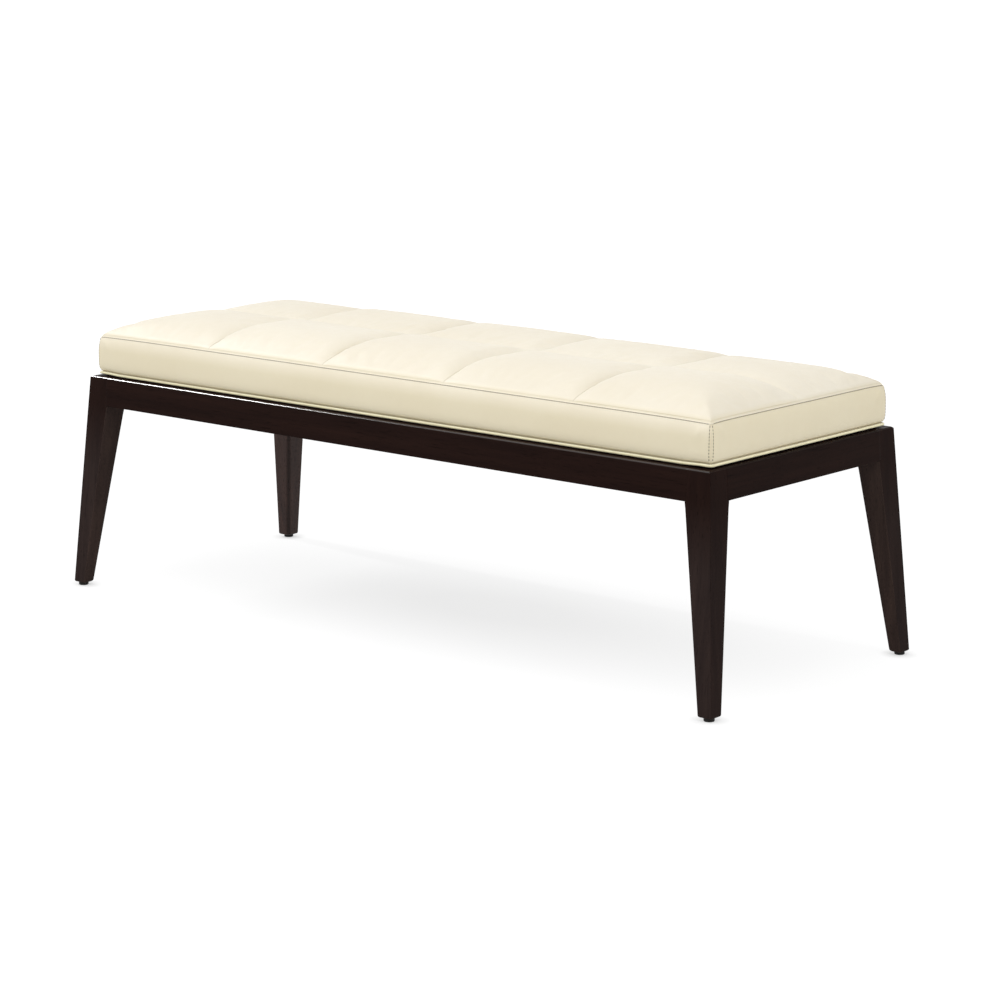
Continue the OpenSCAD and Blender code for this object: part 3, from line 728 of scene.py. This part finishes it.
def from_edge(x, y):
    """Distance to the outer seams, eased in the corners: (ex^-7 + ey^-7)^(-1/7)."""
    ex, ey = np.maximum(seat[0] - np.abs(x), 1e-5), np.maximum(seat[1] - np.abs(y), 1e-5)
    return (ex**-7.0 + ey**-7.0) ** (-1 / 7)


def fullness(x, y):
    """How much each panel stands up, less the slack that the pad's pressure takes up later: 0 on
    every seam, and all of it on a panel's crown, by the product of the rises from its seams."""
    middle = np.where(y < 0, rise(-y, 0.072, 3.0), rise(y, 0.0866, 1.8))
    pillow = rise(from_edge(x, y), puff_run, 1.4) * rise(from_cross_seam(x), seam_run, 2.0) * middle
    column = np.clip(((x + seat[0]) / (2 * seat[0]) * panels[0]).astype(int), 0, panels[0] - 1)
    return (puff + np.where(y < 0, own_front[column], own_back[column]) - slack) * pillow


def top_height(x, y):
    """Height of the leather before the pad swells: the arched outer seam, a short shoulder, a slow
    rise inwards, and the panels' fullness."""
    x, y = np.broadcast_arrays(np.asarray(x, float), np.asarray(y, float))
    ax, ay = np.abs(x) / seat[0], np.abs(y) / seat[1]
    e = from_edge(x, y)
    arched = seam_height + seam_arch * (1 - ax**12 * ay**12)
    short = shoulder * rise(e, 0.008, 2.0)
    return arched + short + (crown + dome * (1 - ax**2)) * rise(e, crown_run, 2.06) + fullness(x, y)


def plan(x, y, inset=0.0):
    """Rounds the corners of the plan: a corner square goes to a quarter disc by
    a' = a sqrt(1 - b^2 / 2), b' = b sqrt(1 - a^2 / 2)."""
    r = max(corner_round - inset, 0.0005)
    flat = seat - inset - r
    a, b = np.clip((np.abs(x) - flat[0]) / r, 0, 1), np.clip((np.abs(y) - flat[1]) / r, 0, 1)
    px = np.where(a > 0, np.sign(x) * (flat[0] + r * a * np.sqrt(1 - b * b / 2)), x)
    py = np.where(b > 0, np.sign(y) * (flat[1] + r * b * np.sqrt(1 - a * a / 2)), y)
    return px, py


print("height of the crown:", round(float(top_height(0.12, 0.1)), 4))

# %% [markdown]
# Under the leather lies a foam pad in a fibre wrap. The leather is stretched over it and sewn
# down, and the foam presses it up between the seams. That press is what cloth simulation does
# well: the pad's closed mesh is held along its seams and below, and air pressure swells the
# rest. The movement is then read off and given to the leather, so both puff up alike. The
# formula alone would do, but its panels come out too even.

# %% Start of the seat pad
leather_over, pad_columns, pad_rows = 0.0019, 201, 71
pad_half = seat - 0.0085
SIDE_INSETS = np.array([0.0056, 0.0026, 0.0006, -0.0012, -0.0020, -0.0012, 0.0006, 0.0034])
SIDE_SHARES = np.array([0.10, 0.17, 0.27, 0.42, 0.58, 0.76, 0.90, 0.99])


def pad_start():
    """A grid just under the leather, loops down the sides from its rim, and a flat grid below."""
    x, y = np.meshgrid(*(np.linspace(-h, h, n) for h, n in zip(pad_half, (pad_columns, pad_rows))))
    top = points_at(x, y, top_height(x, y) - leather_over)
    rim = rim_of(pad_rows, pad_columns)
    start, loops = top.reshape(-1, 3)[rim], []
    for inset, share in zip(SIDE_INSETS, SIDE_SHARES):
        wide = start[:, :2] / pad_half * (seat - inset)
        z = start[:, 2] + (board_top + 0.0004 - start[:, 2]) * share
        loops.append(points_at(*plan(wide[:, 0], wide[:, 1], inset), z))
    low = seat - 0.006
    below = points_at(x / pad_half[0] * low[0], y / pad_half[1] * low[1], board_top + 0.0003)
    return top, np.array(loops), below, rim


def pad_mesh(top, loops, below, rim):
    """Joins the top grid, the side loops and the lower grid into one closed mesh."""
    count, around = top.shape[0] * top.shape[1], len(rim)
    side = np.arange(len(loops) * around).reshape(len(loops), around) + count
    under = count + side.size
    stack = np.concatenate([rim[None], side, rim[None] + under])
    after = np.roll(stack, -1, 1)
    walls = np.stack([stack[:-1], stack[1:], after[1:], after[:-1]], -1).reshape(-1, 4)
    faces = grid_faces(*top.shape[:2])
    points = np.concatenate([top.reshape(-1, 3), loops.reshape(-1, 3), below.reshape(-1, 3)])
    return points, np.concatenate([faces, walls, faces[:, ::-1] + under]).tolist()


pad_top, loops, below, rim = pad_start()
print("pad:", pad_top.shape[:2], "points on top,", len(loops), "loops down its sides")

# %% [markdown]
# The cloth settings are those of a firm, light cushion: little stretch, little bending, no
# gravity, and a pressure that lifts the leather by millimetres. The result is read as
# points, so the pad needs no modifier afterwards.

# %% Let the pad swell
CLOTH = {"use_pressure": True, "uniform_pressure_force": 4.0, "mass": 0.35, "quality": 5,
         "tension_stiffness": 12.0, "compression_stiffness": 12.0, "shear_stiffness": 4.0,
         "bending_stiffness": 0.6, "shrink_min": -0.01}


def swell_pad(points, faces, held, frames=20):
    """Presses a closed mesh outwards from within and returns where its points end up."""
    mesh = closed_mesh("pad_trial", points, faces)
    trial = bpy.data.objects.new("pad_trial", mesh)
    scene.collection.objects.link(trial)
    trial.vertex_groups.new(name="sewn").add(np.flatnonzero(held).tolist(), 1.0, "REPLACE")
    cloth = trial.modifiers.new("press", "CLOTH")
    cloth.settings.vertex_group_mass = "sewn"
    for label, value in CLOTH.items():
        setattr(cloth.settings, label, value)
    cloth.settings.effector_weights.gravity = 0.0
    cloth.collision_settings.use_collision = False
    for number in range(1, frames + 1):
        scene.frame_set(number)
    final = trial.evaluated_get(bpy.context.evaluated_depsgraph_get()).to_mesh()
    moved = np.empty(len(final.vertices) * 3)
    final.vertices.foreach_get("co", moved)
    trial.to_mesh_clear()
    bpy.data.objects.remove(trial)
    bpy.data.meshes.remove(mesh)
    scene.frame_set(1)
    return moved.reshape(-1, 3)


def swelling(cap=0.008, sewn_half=0.0035):
    """How far each point of the pad's top moves, capped softly: cap * tanh(move / cap)."""
    points, faces = pad_mesh(pad_top, loops, below, rim)
    x, y = pad_top[..., 0], pad_top[..., 1]
    held = np.ones(len(points), bool)
    sewn = (from_cross_seam(x) < sewn_half) | (np.abs(y) < sewn_half)
    sewn[[0, -1]] = sewn[:, [0, -1]] = True
    held[: x.size] = sewn.ravel()
    move = (swell_pad(points, faces, held) - points)[: x.size].reshape(pad_top.shape)
    far = np.linalg.norm(move, axis=-1, keepdims=True)
    print("the pad swells by", *np.round([far.mean() * 1000, far.max() * 1000], 2), "mm on average and at most")
    return move * np.where(far > 0, cap * np.tanh(far / cap) / np.maximum(far, 1e-9), 1)


def cubic_weights(t):
    """The four weights of a uniform cubic B-spline at t between its middle points."""
    return (1 - t) ** 3 / 6, (3 * t**3 - 6 * t**2 + 4) / 6, (-3 * t**3 + 3 * t**2 + 3 * t + 1) / 6, t**3 / 6


def read_move(x, y):
    """The pad's movement at any place: a smooth cubic blend of the 4 x 4 nearest grid points."""
    u = np.clip((x / pad_half[0] + 1) / 2, 0, 1) * (pad_columns - 1)
    v = np.clip((y / pad_half[1] + 1) / 2, 0, 1) * (pad_rows - 1)
    i, j = np.floor(u).astype(int), np.floor(v).astype(int)
    total = np.zeros(x.shape + (3,))
    for dj, wj in zip(range(-1, 3), cubic_weights(v - j)):
        for di, wi in zip(range(-1, 3), cubic_weights(u - i)):
            near = pad_move[np.clip(j + dj, 0, pad_rows - 1), np.clip(i + di, 0, pad_columns - 1)]
            total += (wi * wj)[..., None] * near
    return total


pad_move = swelling()
print("movement on a panel's crown:", np.round(read_move(np.array([0.12]), np.array([0.1])), 4))

# %% Build the seat pad
def make_fibre_wrap():
    """White polyester wadding: a soft, matt surface of crossing fibres."""
    material, where = start_finish("fibre wrap", Specular_IOR_Level=0.2)
    tuft, strand = drift(where, 0.006), drift(where, 0.0008)
    return end_finish(material, blend(tuft, (0.70, 0.69, 0.66), (0.80, 0.79, 0.77)),
                      strand.spread(0.0, 1.0, 0.85, 0.95), tuft + strand, 0.0004)


pad_shape = pad_mesh(pad_top + pad_move, loops, below, rim)
pad = build("seat_pad", pad_shape, make_fibre_wrap(), ["foam_core"])
print("the pad has", len(pad.data.polygons), "faces and holds", round(volume_of(pad.data) * 1000, 1), "litres")

# %% [markdown]
# Leather turns down into a seam over a small round lip. The lip is a quarter circle, so the
# two panels of a seam meet in a crease with upright walls, and light falls into it as it does
# on the real thing. Points crowd together near the seams, where the shape changes fast. A
# sheet with an even grid would need ten times the points for the same crease.

# %% Leather panels
crease_in, lip_round, seam_gap = 0.0027, 0.0003, 0.00004
FINE = np.array([0, 0.05, 0.15, 0.3, 0.5, 0.8, 1.2, 1.6, 2.1, 2.8, 3.3, 3.8, 5.2, 7.2, 10.0]) * 0.001


def crowded(start, stop, step=0.004):
    """Places from start to stop, close together near both ends and about step apart between."""
    inner = np.linspace(start + FINE[-1] + step, stop - FINE[-1] - step,
                        max(2, int((stop - start - 2 * FINE[-1] - 2 * step) / step)))
    return np.concatenate([start + FINE, inner, stop - FINE[::-1]])


def lip(e, r=lip_round):
    """How far leather has turned down at a distance e from its seam: r - sqrt(r^2 - (r - e)^2)."""
    short = np.clip(r - e, 0, r)
    return r - np.sqrt(r * r - short * short)


def panel_sheet(k, j):
    """The upper face of the panel in column k and row j, its underside, and its distance to a seam."""
    edges = [np.linspace(-seat[a], seat[a], panels[a] + 1) for a in (0, 1)]
    low = [edges[a][n] + (crease_in if n == 0 else seam_gap) for a, n in ((0, k), (1, j))]
    high = [edges[a][n + 1] - (crease_in if n == panels[a] - 1 else seam_gap) for a, n in ((0, k), (1, j))]
    x, y = np.meshgrid(crowded(low[0], high[0]), crowded(low[1], high[1]))
    e = np.minimum(np.minimum(x - low[0], high[0] - x), np.minimum(y - low[1], high[1] - y))
    outer = points_at(*plan(x, y, crease_in), top_height(x, y) - lip(e)) + read_move(x, y)
    return outer, outer - [0, 0, hide], e


for j, row in enumerate(("front", "back")):
    for k in range(panels[0]):
        outer, inner, e = panel_sheet(k, j)
        from_end = seat[1] - np.abs(outer[..., 1])
        # painted shade: this distance darkens a thin line in each cross seam near the front and back edges,
        # fading inwards; the cross seams have no stitches
        to_stitch_and_shade_line = from_cross_seam(outer[..., 0]) + 0.0009 * np.clip((from_end - 0.015) / 0.075, 0, 1)
        panel = build(f"leather_panel_{row}_{k + 1}", shell(outer, inner), leather,
                      [f"top_panel_{row}_{k + 1}"], {"to_seam": [e, e], "to_stitch_and_shade_line": [to_stitch_and_shade_line] * 2})
print("a corner panel has", len(panel.data.polygons), "faces")

# %% [markdown]
# The boxing is four bands of leather. The top of each is lapped under the panels and sewn
# down with a row of stitches, then it swells out over the foam, turns in above the welt and
# is stapled under the seat board. Its shape is a path in the plan, round half of each corner,
# and a profile that is carried along it. A bevelled box would have no slack and no puckers.

# %% Path and profile of a side band
def side_path(s, d, along, away):
    """A point at running length s and d inside the edge: straight, then round half a corner on an
    arc of radius corner_round - d. Rows that lie further in than the corner's centre are mitred."""
    straight = along - corner_round
    angle = np.clip((np.abs(s) - straight) / corner_round, 0, np.pi / 4)
    r = corner_round - d
    round_x = np.minimum(np.abs(s), straight) + r * np.sin(angle)
    round_y = -(away - corner_round) - r * np.cos(angle)
    mitred_x = np.abs(s) / (straight + corner_round * np.pi / 4) * (along - d)
    deep = d > corner_round - 0.0002
    return np.sign(s) * np.where(deep, mitred_x, round_x), np.where(deep, d - away, round_y)


def edge_level(s, e, quarter, along, away):
    """Height of the cushion's top e inside the edge, at running length s of a side."""
    angle = np.clip((np.abs(s) - along + corner_round) / corner_round, 0, np.pi / 4)
    reach = np.minimum(np.abs(s), along - corner_round) + (corner_round - e) * np.sqrt(2) * np.sin(angle)
    across = away - e + 0 * s
    return top_height(reach, across) if quarter % 2 == 0 else top_height(across, reach)


def grid_normals(points):
    """Outward normals of a grid: the cross product of its steps along the rows and columns."""
    normal = np.cross(np.gradient(points, axis=1), np.gradient(points, axis=0))
    return normal / np.linalg.norm(normal, axis=-1, keepdims=True)


LAPPED = np.array([2.74, 2.72, 2.69, 2.62, 2.5, 2.3, 2.0, 1.6, 1.2, 0.8, 0.4, 0.0]) * 0.001
DROP = np.concatenate([[0.3, 0.7, 1.1, 1.6, 2.2, 3.0, 4.2, 6.0, 8.5], np.linspace(12, 48, 13),
                       [50.0, 51.6, 53.0, 54.2, 55.1, 55.8, 56.2]]) * 0.001
TURNED = np.array([[0.1, 0.35], [0.25, 0.15], [0.4, 0.03], [0.6, 0], [0.9, 0], [1.25, 0], [1.5, -0.5]]) * 0.001
BELOW = np.array([[1.55, 347.6], [1.55, 346.6], [1.75, 345.9], [2.5, 345.5], [5.0, 345.5], [9.0, 345.5],
                  [14.0, 345.5], [20.0, 345.5], [25.3, 345.5]]) * 0.001
top_row, face_end = len(LAPPED), len(LAPPED) + len(DROP)


def boxy(t):
    """How a band stands out over its foam, from its seam at t = 0 to its foot at 1: the product
    of (1 - (1 - 2t)^2.2)^0.8 and (1 - (2t - 1)^5)^0.6, each held at 1 beyond the middle."""
    upper = (1 - np.clip(1 - t / 0.5, 0, 1) ** 2.2) ** 0.8
    return upper * (1 - np.clip((t - 0.5) / 0.5, 0, 1) ** 5) ** 0.6


def wander(s, seed, sizes=(0.31, 0.17, 0.093, 0.052)):
    """A gentle wave that never repeats: sines of several lengths with phases set by the seed."""
    phases = np.random.default_rng(seed).uniform(0, 2 * np.pi, len(sizes))
    return np.mean([np.sin(2 * np.pi * s / length + phase) for length, phase in zip(sizes, phases)], axis=0)


print("a band's profile has", face_end + len(TURNED) + len(BELOW), "rows")

# %% Build the side bands
corner_rows, band_height = 0.0013, 0.0565
pulls = np.random.default_rng(8).uniform(0.0010, 0.0022, (4, 2))


def band_form(quarter, along, away):
    """The smooth band on one side: its running lengths, how far in its rows lie, and its points."""
    end = along - corner_round + corner_round * np.pi / 4 - seam_gap
    s = crowded(-end, end)[None, :]
    seam = edge_level(s, 0.0, quarter, along, away)
    lapped_z = edge_level(s, LAPPED[:, None], quarter, along, away) - lip(crease_in - LAPPED[:, None])
    lapped_z[0] -= 0.0008
    t = DROP[:, None] / band_height
    bulge = swell * (1 + 0.10 * wander(s, 11 + quarter)) + 0.0003 * wander(s, 31 + quarter, (0.08, 0.047))
    lifted = eased((np.abs(s) - along + 0.05) / 0.05) if quarter % 2 == 0 else 1 + 0 * s
    foot_z = foot_level + end_lift * lifted
    d = np.concatenate([LAPPED[:, None] + 0 * s, -bulge * boxy(t), TURNED[:, :1] + 0 * s, BELOW[:, :1] + 0 * s])
    z = np.concatenate([lapped_z, seam + (foot_z + 0.0003 - seam) * t, TURNED[:, 1:] + foot_z,
                        BELOW[:, 1:] + 0 * s])
    return s, d, points_at(*side_path(s + 0 * d, d, along, away), z)


def band_sheet(quarter):
    """Outer and inner faces of the band on one side, and the distances that its finish reads, which
    also mark painted shade in the lap's crease and in the crease above the welt. The leather is
    sunk along its stitches by a bell curve with a raised rim, and puckered at both ends."""
    along, away = seat[[0, 1]] if quarter % 2 == 0 else seat[[1, 0]]
    s, d, outer = band_form(quarter, along, away)
    normal = grid_normals(outer)
    step = np.gradient(outer, axis=0)
    down = np.cumsum(np.hypot(step[..., 1], step[..., 2]), axis=0)
    across = down - down[top_row - 1]
    end = s.max() + seam_gap - np.abs(s)
    rows = np.arange(len(d))[:, None]
    upright = (rows >= top_row) & (rows < face_end)
    near_top = np.abs(across) < crease_in
    to_stitch_and_shade_line = np.minimum(np.abs(across), np.where(upright, np.abs(end - corner_rows), 1.0))
    rim = 0.25 * np.exp(-(((to_stitch_and_shade_line - 0.0017) / 0.0007) ** 2))
    sunk = np.where(near_top, 0.0005, 0.0003) * (np.exp(-((to_stitch_and_shade_line / 0.0006) ** 2)) - rim)
    sunk = sunk + lip(end) * (rows < face_end + 4)
    fold, down = np.where(s < 0, *pulls[quarter]), np.clip(across, 0, None)
    sunk = sunk + fold * np.exp(-(((end - 0.010 - 0.35 * down) / 0.0055) ** 2) - ((down - 0.012) / 0.010) ** 2)
    outer = outer - normal * sunk[..., None]
    # painted shade: the lowest rows of the band are darkened as a crease above the welt
    painted_crease_distance = 0.0004 + 0.00025 * np.clip((across[face_end - 1] - across) / 0.001, 0, 10)
    to_stitch_and_shade_line = np.minimum(to_stitch_and_shade_line + np.where(near_top, 0.0, 0.0007), painted_crease_distance)
    to_seam = np.minimum(end + 0.0002 + 0 * d, np.abs(across - across[4].mean()))
    return s, outer, band_inside(s, d, outer, along, away), normal, to_seam, to_stitch_and_shade_line, across


def band_inside(s, d, outer, along, away):
    """The band's inner face: the outer one moved in by the leather, and kept simple at the lap."""
    inside = np.where(d > 0.0018, d, d + hide)
    inside[:top_row] = 0.0046
    z = outer[..., 2].copy()
    z[:top_row] = outer[top_row - 1, :, 2][None, :] + np.linspace(-0.0002, -0.0016, top_row)[:, None]
    level = np.where(d > 0.0018, strip_top + hide, np.where(d < 0.00152, z + hide, z))
    z[face_end:] = level[face_end:]
    return points_at(*side_path(s + 0 * d, inside, along, away), z)


def turned(points, quarter):
    """Turns points about the middle of the bench by quarters of a turn."""
    c, q = [(1, 0), (0, 1), (-1, 0), (0, -1)][quarter]
    x, y, z = np.moveaxis(points, -1, 0)
    return points_at(c * x - q * y, q * x + c * y, z)


bands = {}
for quarter, side in enumerate(("front", "right", "back", "left")):
    s, outer, inner, normal, to_seam, to_stitch_and_shade_line, across = band_sheet(quarter)
    bands[side] = (quarter, s, outer, normal)
    uv = np.stack([s + 0 * across, across], -1).reshape(-1, 2)
    build(f"leather_band_{side}", shell(turned(outer, quarter), turned(inner, quarter)), leather,
          [f"side_band_{side}"], uv=np.concatenate([uv, uv]),
          fields={"to_seam": [to_seam, to_seam + 0.01], "to_stitch_and_shade_line": [to_stitch_and_shade_line, to_stitch_and_shade_line + 0.01]})
    print(side, "band:", outer.shape[:2], "points")

# %% [markdown]
# The welt is a cord wrapped in the same leather and sewn into the lower seam; its finish is a
# copy of the leather painted lighter, with more sheen. It is a tube carried round a rectangle
# with rounded corners. A curve with a round bevel would do, but the grid lets the tube thicken
# and thin a little, as a wrapped cord does.

# %% Welt
def welt_path(step=0.006):
    """Points round the seat at the welt's centre, with their outward directions."""
    flat, r = seat - corner_round, corner_round - welt_radius + welt_proud
    turns = np.array([[1, -1], [1, 1], [-1, 1], [-1, -1]])
    points, outward = [], []
    for k in range(4):
        angle = np.linspace(-np.pi / 2, 0, 9) + k * np.pi / 2
        way = np.stack([np.cos(angle), np.sin(angle)], -1)
        corner = turns[k] * flat + r * way
        share = np.linspace(0, 1, int(2 * flat[1 - k % 2] / step))[1:-1, None]
        next_corner = turns[(k + 1) % 4] * flat + r * way[-1]
        points += [corner, corner[-1] + (next_corner - corner[-1]) * share]
        outward += [way, np.repeat(way[-1:], len(share), 0)]
    return np.concatenate(points), np.concatenate(outward)


def tube_round(path, outward, level, radius, sides=20):
    """Circles of the given radius across a path: centre + outward cos(a) + up sin(a)."""
    angle = np.linspace(0, 2 * np.pi, sides, endpoint=False)
    length = np.concatenate([[0], np.cumsum(np.linalg.norm(np.diff(path, axis=0), axis=1))])
    thick = radius * (1 + 0.02 * wander(length, 5, (0.041, 0.023, 0.29)))[:, None]
    flat = path[:, None, :] + outward[:, None, :] * (thick * np.cos(angle))[..., None]
    return np.concatenate([flat, (level[:, None] + thick * np.sin(angle))[..., None]], -1), length


path, outward = welt_path()
levels = welt_level + end_lift * eased((np.abs(path[:, 0]) - seat[0] + 0.05) / 0.04)
tube, welt_length = tube_round(path, outward, levels, welt_radius)
around, sides = tube.shape[:2]
plain = np.full(around * sides, 0.01)
build("welt_cord", (tube.reshape(-1, 3), (grid_faces(around + 1, sides, True) % (around * sides)).tolist()),
      painted_lit_welt_leather, ["welt"], fields={"to_seam": plain, "to_stitch_and_shade_line": plain})
print("the welt is", round(float(welt_length[-1]), 3), "m long")

# %% [markdown]
# Between the frame and the seat runs a strip of black-painted wood, set back so far that it
# only shows as a dark line. Its outline, a box with eased corners, is carried along each side.
# A dark texture on the frame could fake the line, but it wouldn't shade itself.

# %% Spacer strips
def strip_rings(axis, side, recess=0.0062, thick=0.012, ease=0.0008):
    """The eased outline at steps along one side of the seat; axis is the side's outward one."""
    outline = rounded([(-thick, frame_top), (0, frame_top), (0, strip_top), (-thick, strip_top)], [ease] * 4, 3)
    reach = seat[1 - axis] - recess - (thick + 0.0003 if axis == 0 else 0)
    steps = np.linspace(-reach, reach, 33)
    return across_and_along(axis, side * (seat[axis] - recess + outline[:, 0]), steps, outline[:, 1])


def make_plain(name, low, high, patch_size, rough, depth, metal=0.0, shine=0.5):
    """A finish of two close shades that drift into each other, with a matching roughness."""
    material, where = start_finish(name, Metallic=metal, Specular_IOR_Level=shine)
    patch = drift(where, patch_size)
    roughness = patch.spread(0.0, 1.0, rough, rough + 0.12)
    return end_finish(material, blend(patch, low, high), roughness, patch, depth)


black_paint = make_plain("matt black paint", (0.008, 0.008, 0.008), (0.013, 0.012, 0.012), 0.004, 0.6, 0.00003)
for name, (axis, side) in SIDES.items():
    build(f"painted_strip_{name}", rings(strip_rings(axis, side)), black_paint,
          [f"spacer_strip_{name}"], crisp=True)
print("strips made")

# %% [markdown]
# Each stitch is a short length of dark thread that dips into the leather at both ends. One
# small capsule is worked out once and laid along the rows, because hundreds of detailed
# stitches would be heavy and no one could see the difference. A row follows the top seam on
# each side, and one stands either side of each upright corner seam. The top rows follow a
# row of the band's grid, and the upright ones follow a column.

# %% Stitches
stitch_pitch = 0.0045


def thread_material():
    """Bonded thread: dark brown, with a fine twist."""
    material, where = start_finish("sewing thread", Specular_IOR_Level=0.1)
    patch = drift(where, 0.002)
    return end_finish(material, blend(patch, (0.030, 0.017, 0.004), (0.055, 0.033, 0.009)),
                      patch.spread(0.0, 1.0, 0.5, 0.62))


def stitch_form(length=0.0026, radius=0.00058, sides=6):
    """A capsule along X that arches down at both ends: its line is a parabola."""
    share = np.array([-1, -0.72, 0, 0.72, 1])
    angle = np.linspace(0, 2 * np.pi, sides, endpoint=False)
    thick = radius * np.array([0.35, 0.9, 1, 0.9, 0.35])
    z = thick[:, None] * np.sin(angle) - (0.0005 * share**2)[:, None]
    return rings(points_at((share * length / 2)[:, None], thick[:, None] * np.cos(angle), z))


def lay_stitches(name, centres, normals, ahead, lift=0.00035):
    """Copies the stitch to every centre, turned so that X points ahead and Z out of the leather."""
    points, faces = stitch_form()
    ways = ahead / np.linalg.norm(ahead, axis=1, keepdims=True)
    centres, side = centres + lift * normals, np.cross(normals, ways)
    placed = (centres[:, None] + points[None, :, :1] * ways[:, None] + points[None, :, 1:2] * side[:, None]
              + points[None, :, 2:] * normals[:, None])
    all_faces = [[v + len(points) * i for v in face] for i in range(len(centres)) for face in faces]
    build(name, (placed.reshape(-1, 3), all_faces), thread)


def along_line(line, places, wanted):
    """Points of a line, between its own points, at the wanted places along it."""
    return np.stack([np.interp(wanted, places, line[:, k]) for k in range(3)], -1)


thread = thread_material()
for side, (quarter, s, outer, normal) in bands.items():
    first, last = (s.min() + 0.004) / stitch_pitch, (s.max() - 0.004) / stitch_pitch
    wanted = np.arange(np.ceil(first), last) * stitch_pitch
    centres, normals, next_points = (turned(along_line(grid[top_row - 1], s[0], wanted + step), quarter)
                                     for grid, step in ((outer, 0), (normal, 0), (outer, 0.001)))
    lay_stitches(f"stitches_top_{side}", centres, normals, next_points - centres)
for side, (quarter, s, outer, normal) in bands.items():
    for label, end in (("left", -1), ("right", 1)):
        column = np.abs(s[0] - end * (s.max() + seam_gap - corner_rows)).argmin()
        levels = np.arange(outer[top_row, column, 2] - 0.003, foot_level + 0.005, -stitch_pitch)
        line, facing = (grid[top_row:face_end, column] for grid in (outer, normal))
        centres, normals = (turned(along_line(grid, -line[:, 2], -levels), quarter) for grid in (line, facing))
        lay_stitches(f"stitches_corner_{side}_{label}", centres, normals, np.gradient(centres, axis=0))
print("stitches in a long row:", len(wanted), "and in an upright row:", len(levels))

# %% [markdown]
# Under the seat there is planed wood, plywood, a black cloth that keeps dust out, and zinc
# plated screws. They need little more than a true colour and grain. Ready-made materials
# would do, but they would bring images along.

# %% Finishes of the parts underneath
def make_raw_wood(name, pale, deep, turned_by, fineness, rough):
    """Planed, unfinished wood with open grain."""
    material, where = start_finish(name, Specular_IOR_Level=0.3)
    grain, patch = grain_along(where, turned_by, fineness), drift(where, 0.05)
    tone = blend(grain["Pore"] * 0.5, blend(grain["Streak"], pale, deep), np.multiply(0.45, deep))
    return end_finish(material, tone, patch.spread(0.0, 1.0, rough, rough + 0.1),
                      grain["Streak"] - grain["Pore"], 0.00006)


finishes = {
    "inner_wood": make_raw_wood("planed hardwood", (0.62, 0.46, 0.29), (0.48, 0.33, 0.19), CROSSWISE, 1.0, 0.6),
    "plywood": make_raw_wood("birch plywood", (0.68, 0.54, 0.36), (0.55, 0.41, 0.25), LENGTHWISE, 0.8, 0.62),
    "black_cloth": make_plain("black felted cloth", (0.009, 0.009, 0.009), (0.02, 0.02, 0.021),
                              0.0012, 0.85, 0.00012),
    "steel": make_plain("zinc plated steel", (0.50, 0.50, 0.49), (0.62, 0.62, 0.63),
                        0.003, 0.28, 0.00001, metal=1.0),
    "glide_plastic": make_plain("black nylon", (0.008, 0.007, 0.006), (0.014, 0.012, 0.011),
                                0.002, 0.5, 0.00002, shine=0.15),
}
print("finishes underneath:", list(finishes))

# %% [markdown]
# The dust cover is stapled round its edge, so it sags a few millimetres between the cross
# rail and the ends and puckers a little at each staple. It is a shell with two numbers, the
# sag and the puckers; a simulation would give the same gentle curve with more work.

# %% Dust cover
def dust_cover_sheet(half=(0.5835, 0.2025), low=0.3444, thick=0.0008, rail=0.0155, deep=0.0035, fold=0.0006):
    """Sag is a sine between the cross rail and the ends times a cosine across; puckers fade
    from the edge."""
    x, y = np.meshgrid(np.linspace(-half[0], half[0], 235), np.linspace(-half[1], half[1], 83))
    from_rail, end_x, end_y = np.abs(x) - rail, half[0] - np.abs(x), half[1] - np.abs(y)
    span = np.clip(from_rail / (half[0] - rail), 0, 1)
    sag = deep * np.sin(np.pi * span) * np.cos(np.pi * y / (2 * half[1]))**0.8
    edge = np.minimum(end_x, end_y)
    pucker = fold * np.exp(-((edge - 0.012) / 0.012) ** 2) * (
        np.cos(2 * np.pi * x / 0.0825) * (end_y < 0.05) + np.cos(2 * np.pi * y / 0.066) * (end_x < 0.05))
    drop = np.where(edge < 0.008, 0.0, sag + np.maximum(pucker, 0) * np.clip((edge - 0.008) / 0.004, 0, 1))
    lower = points_at(x, y, low - drop * np.clip(from_rail / 0.01, 0, 1))
    return lower + [0, 0, thick], lower


cover = build("dust_cloth", shell(*dust_cover_sheet()), finishes["black_cloth"], ["dust_cover"])
print("dust cover made")

# %% [markdown]
# Each foot stands on a turned nylon glide with a screw sunk in its face. Its profile is a few
# radii and heights, spun round once. A cylinder would do from afar, without the soft rim.

# %% Glides
GLIDE = np.array([[3.1, 1.9], [3.1, 0.35], [3.6, 0.0], [6.6, 0.0], [7.15, 0.12], [7.55, 0.55], [7.75, 1.2],
                  [7.75, 4.9], [7.55, 5.5], [7.0, 5.9], [6.4, 6.0], [6.4, 6.2]]) * 0.001


def glide_loops(at, sides=40):
    """Each radius and height of the profile, spun into a ring round the foot's centre."""
    angle = np.linspace(0, 2 * np.pi, sides, endpoint=False)
    x, y = at[0] + GLIDE[:, :1] * np.cos(angle), at[1] + GLIDE[:, :1] * np.sin(angle)
    return points_at(x, y, GLIDE[:, 1:])


for corner, signs in CORNERS.items():
    build(f"nylon_glide_{corner}", rings(glide_loops(foot * signs)), finishes["glide_plastic"],
          [f"glide_{corner}"], crisp=True)
print("glides at", np.round(foot, 4))

# %% [markdown]
# The rest of the bench keeps its CAD shapes: blocks, dowels, screws, staples, the cross rail
# and the seat board. They only need their finishes, and the record says which slot each has.

# %% Finish the CAD nodes
slots = {row["node"]: row["material_slot"] for row in frame["record"]["subparts"]}
kept = {name: node for name, node in frame["nodes"].items() if not node.hide_render}
for name, node in kept.items():
    node.data.materials.clear()
    node.data.materials.append(finishes[slots[name]])
print("CAD nodes kept with a new finish:", len(kept))
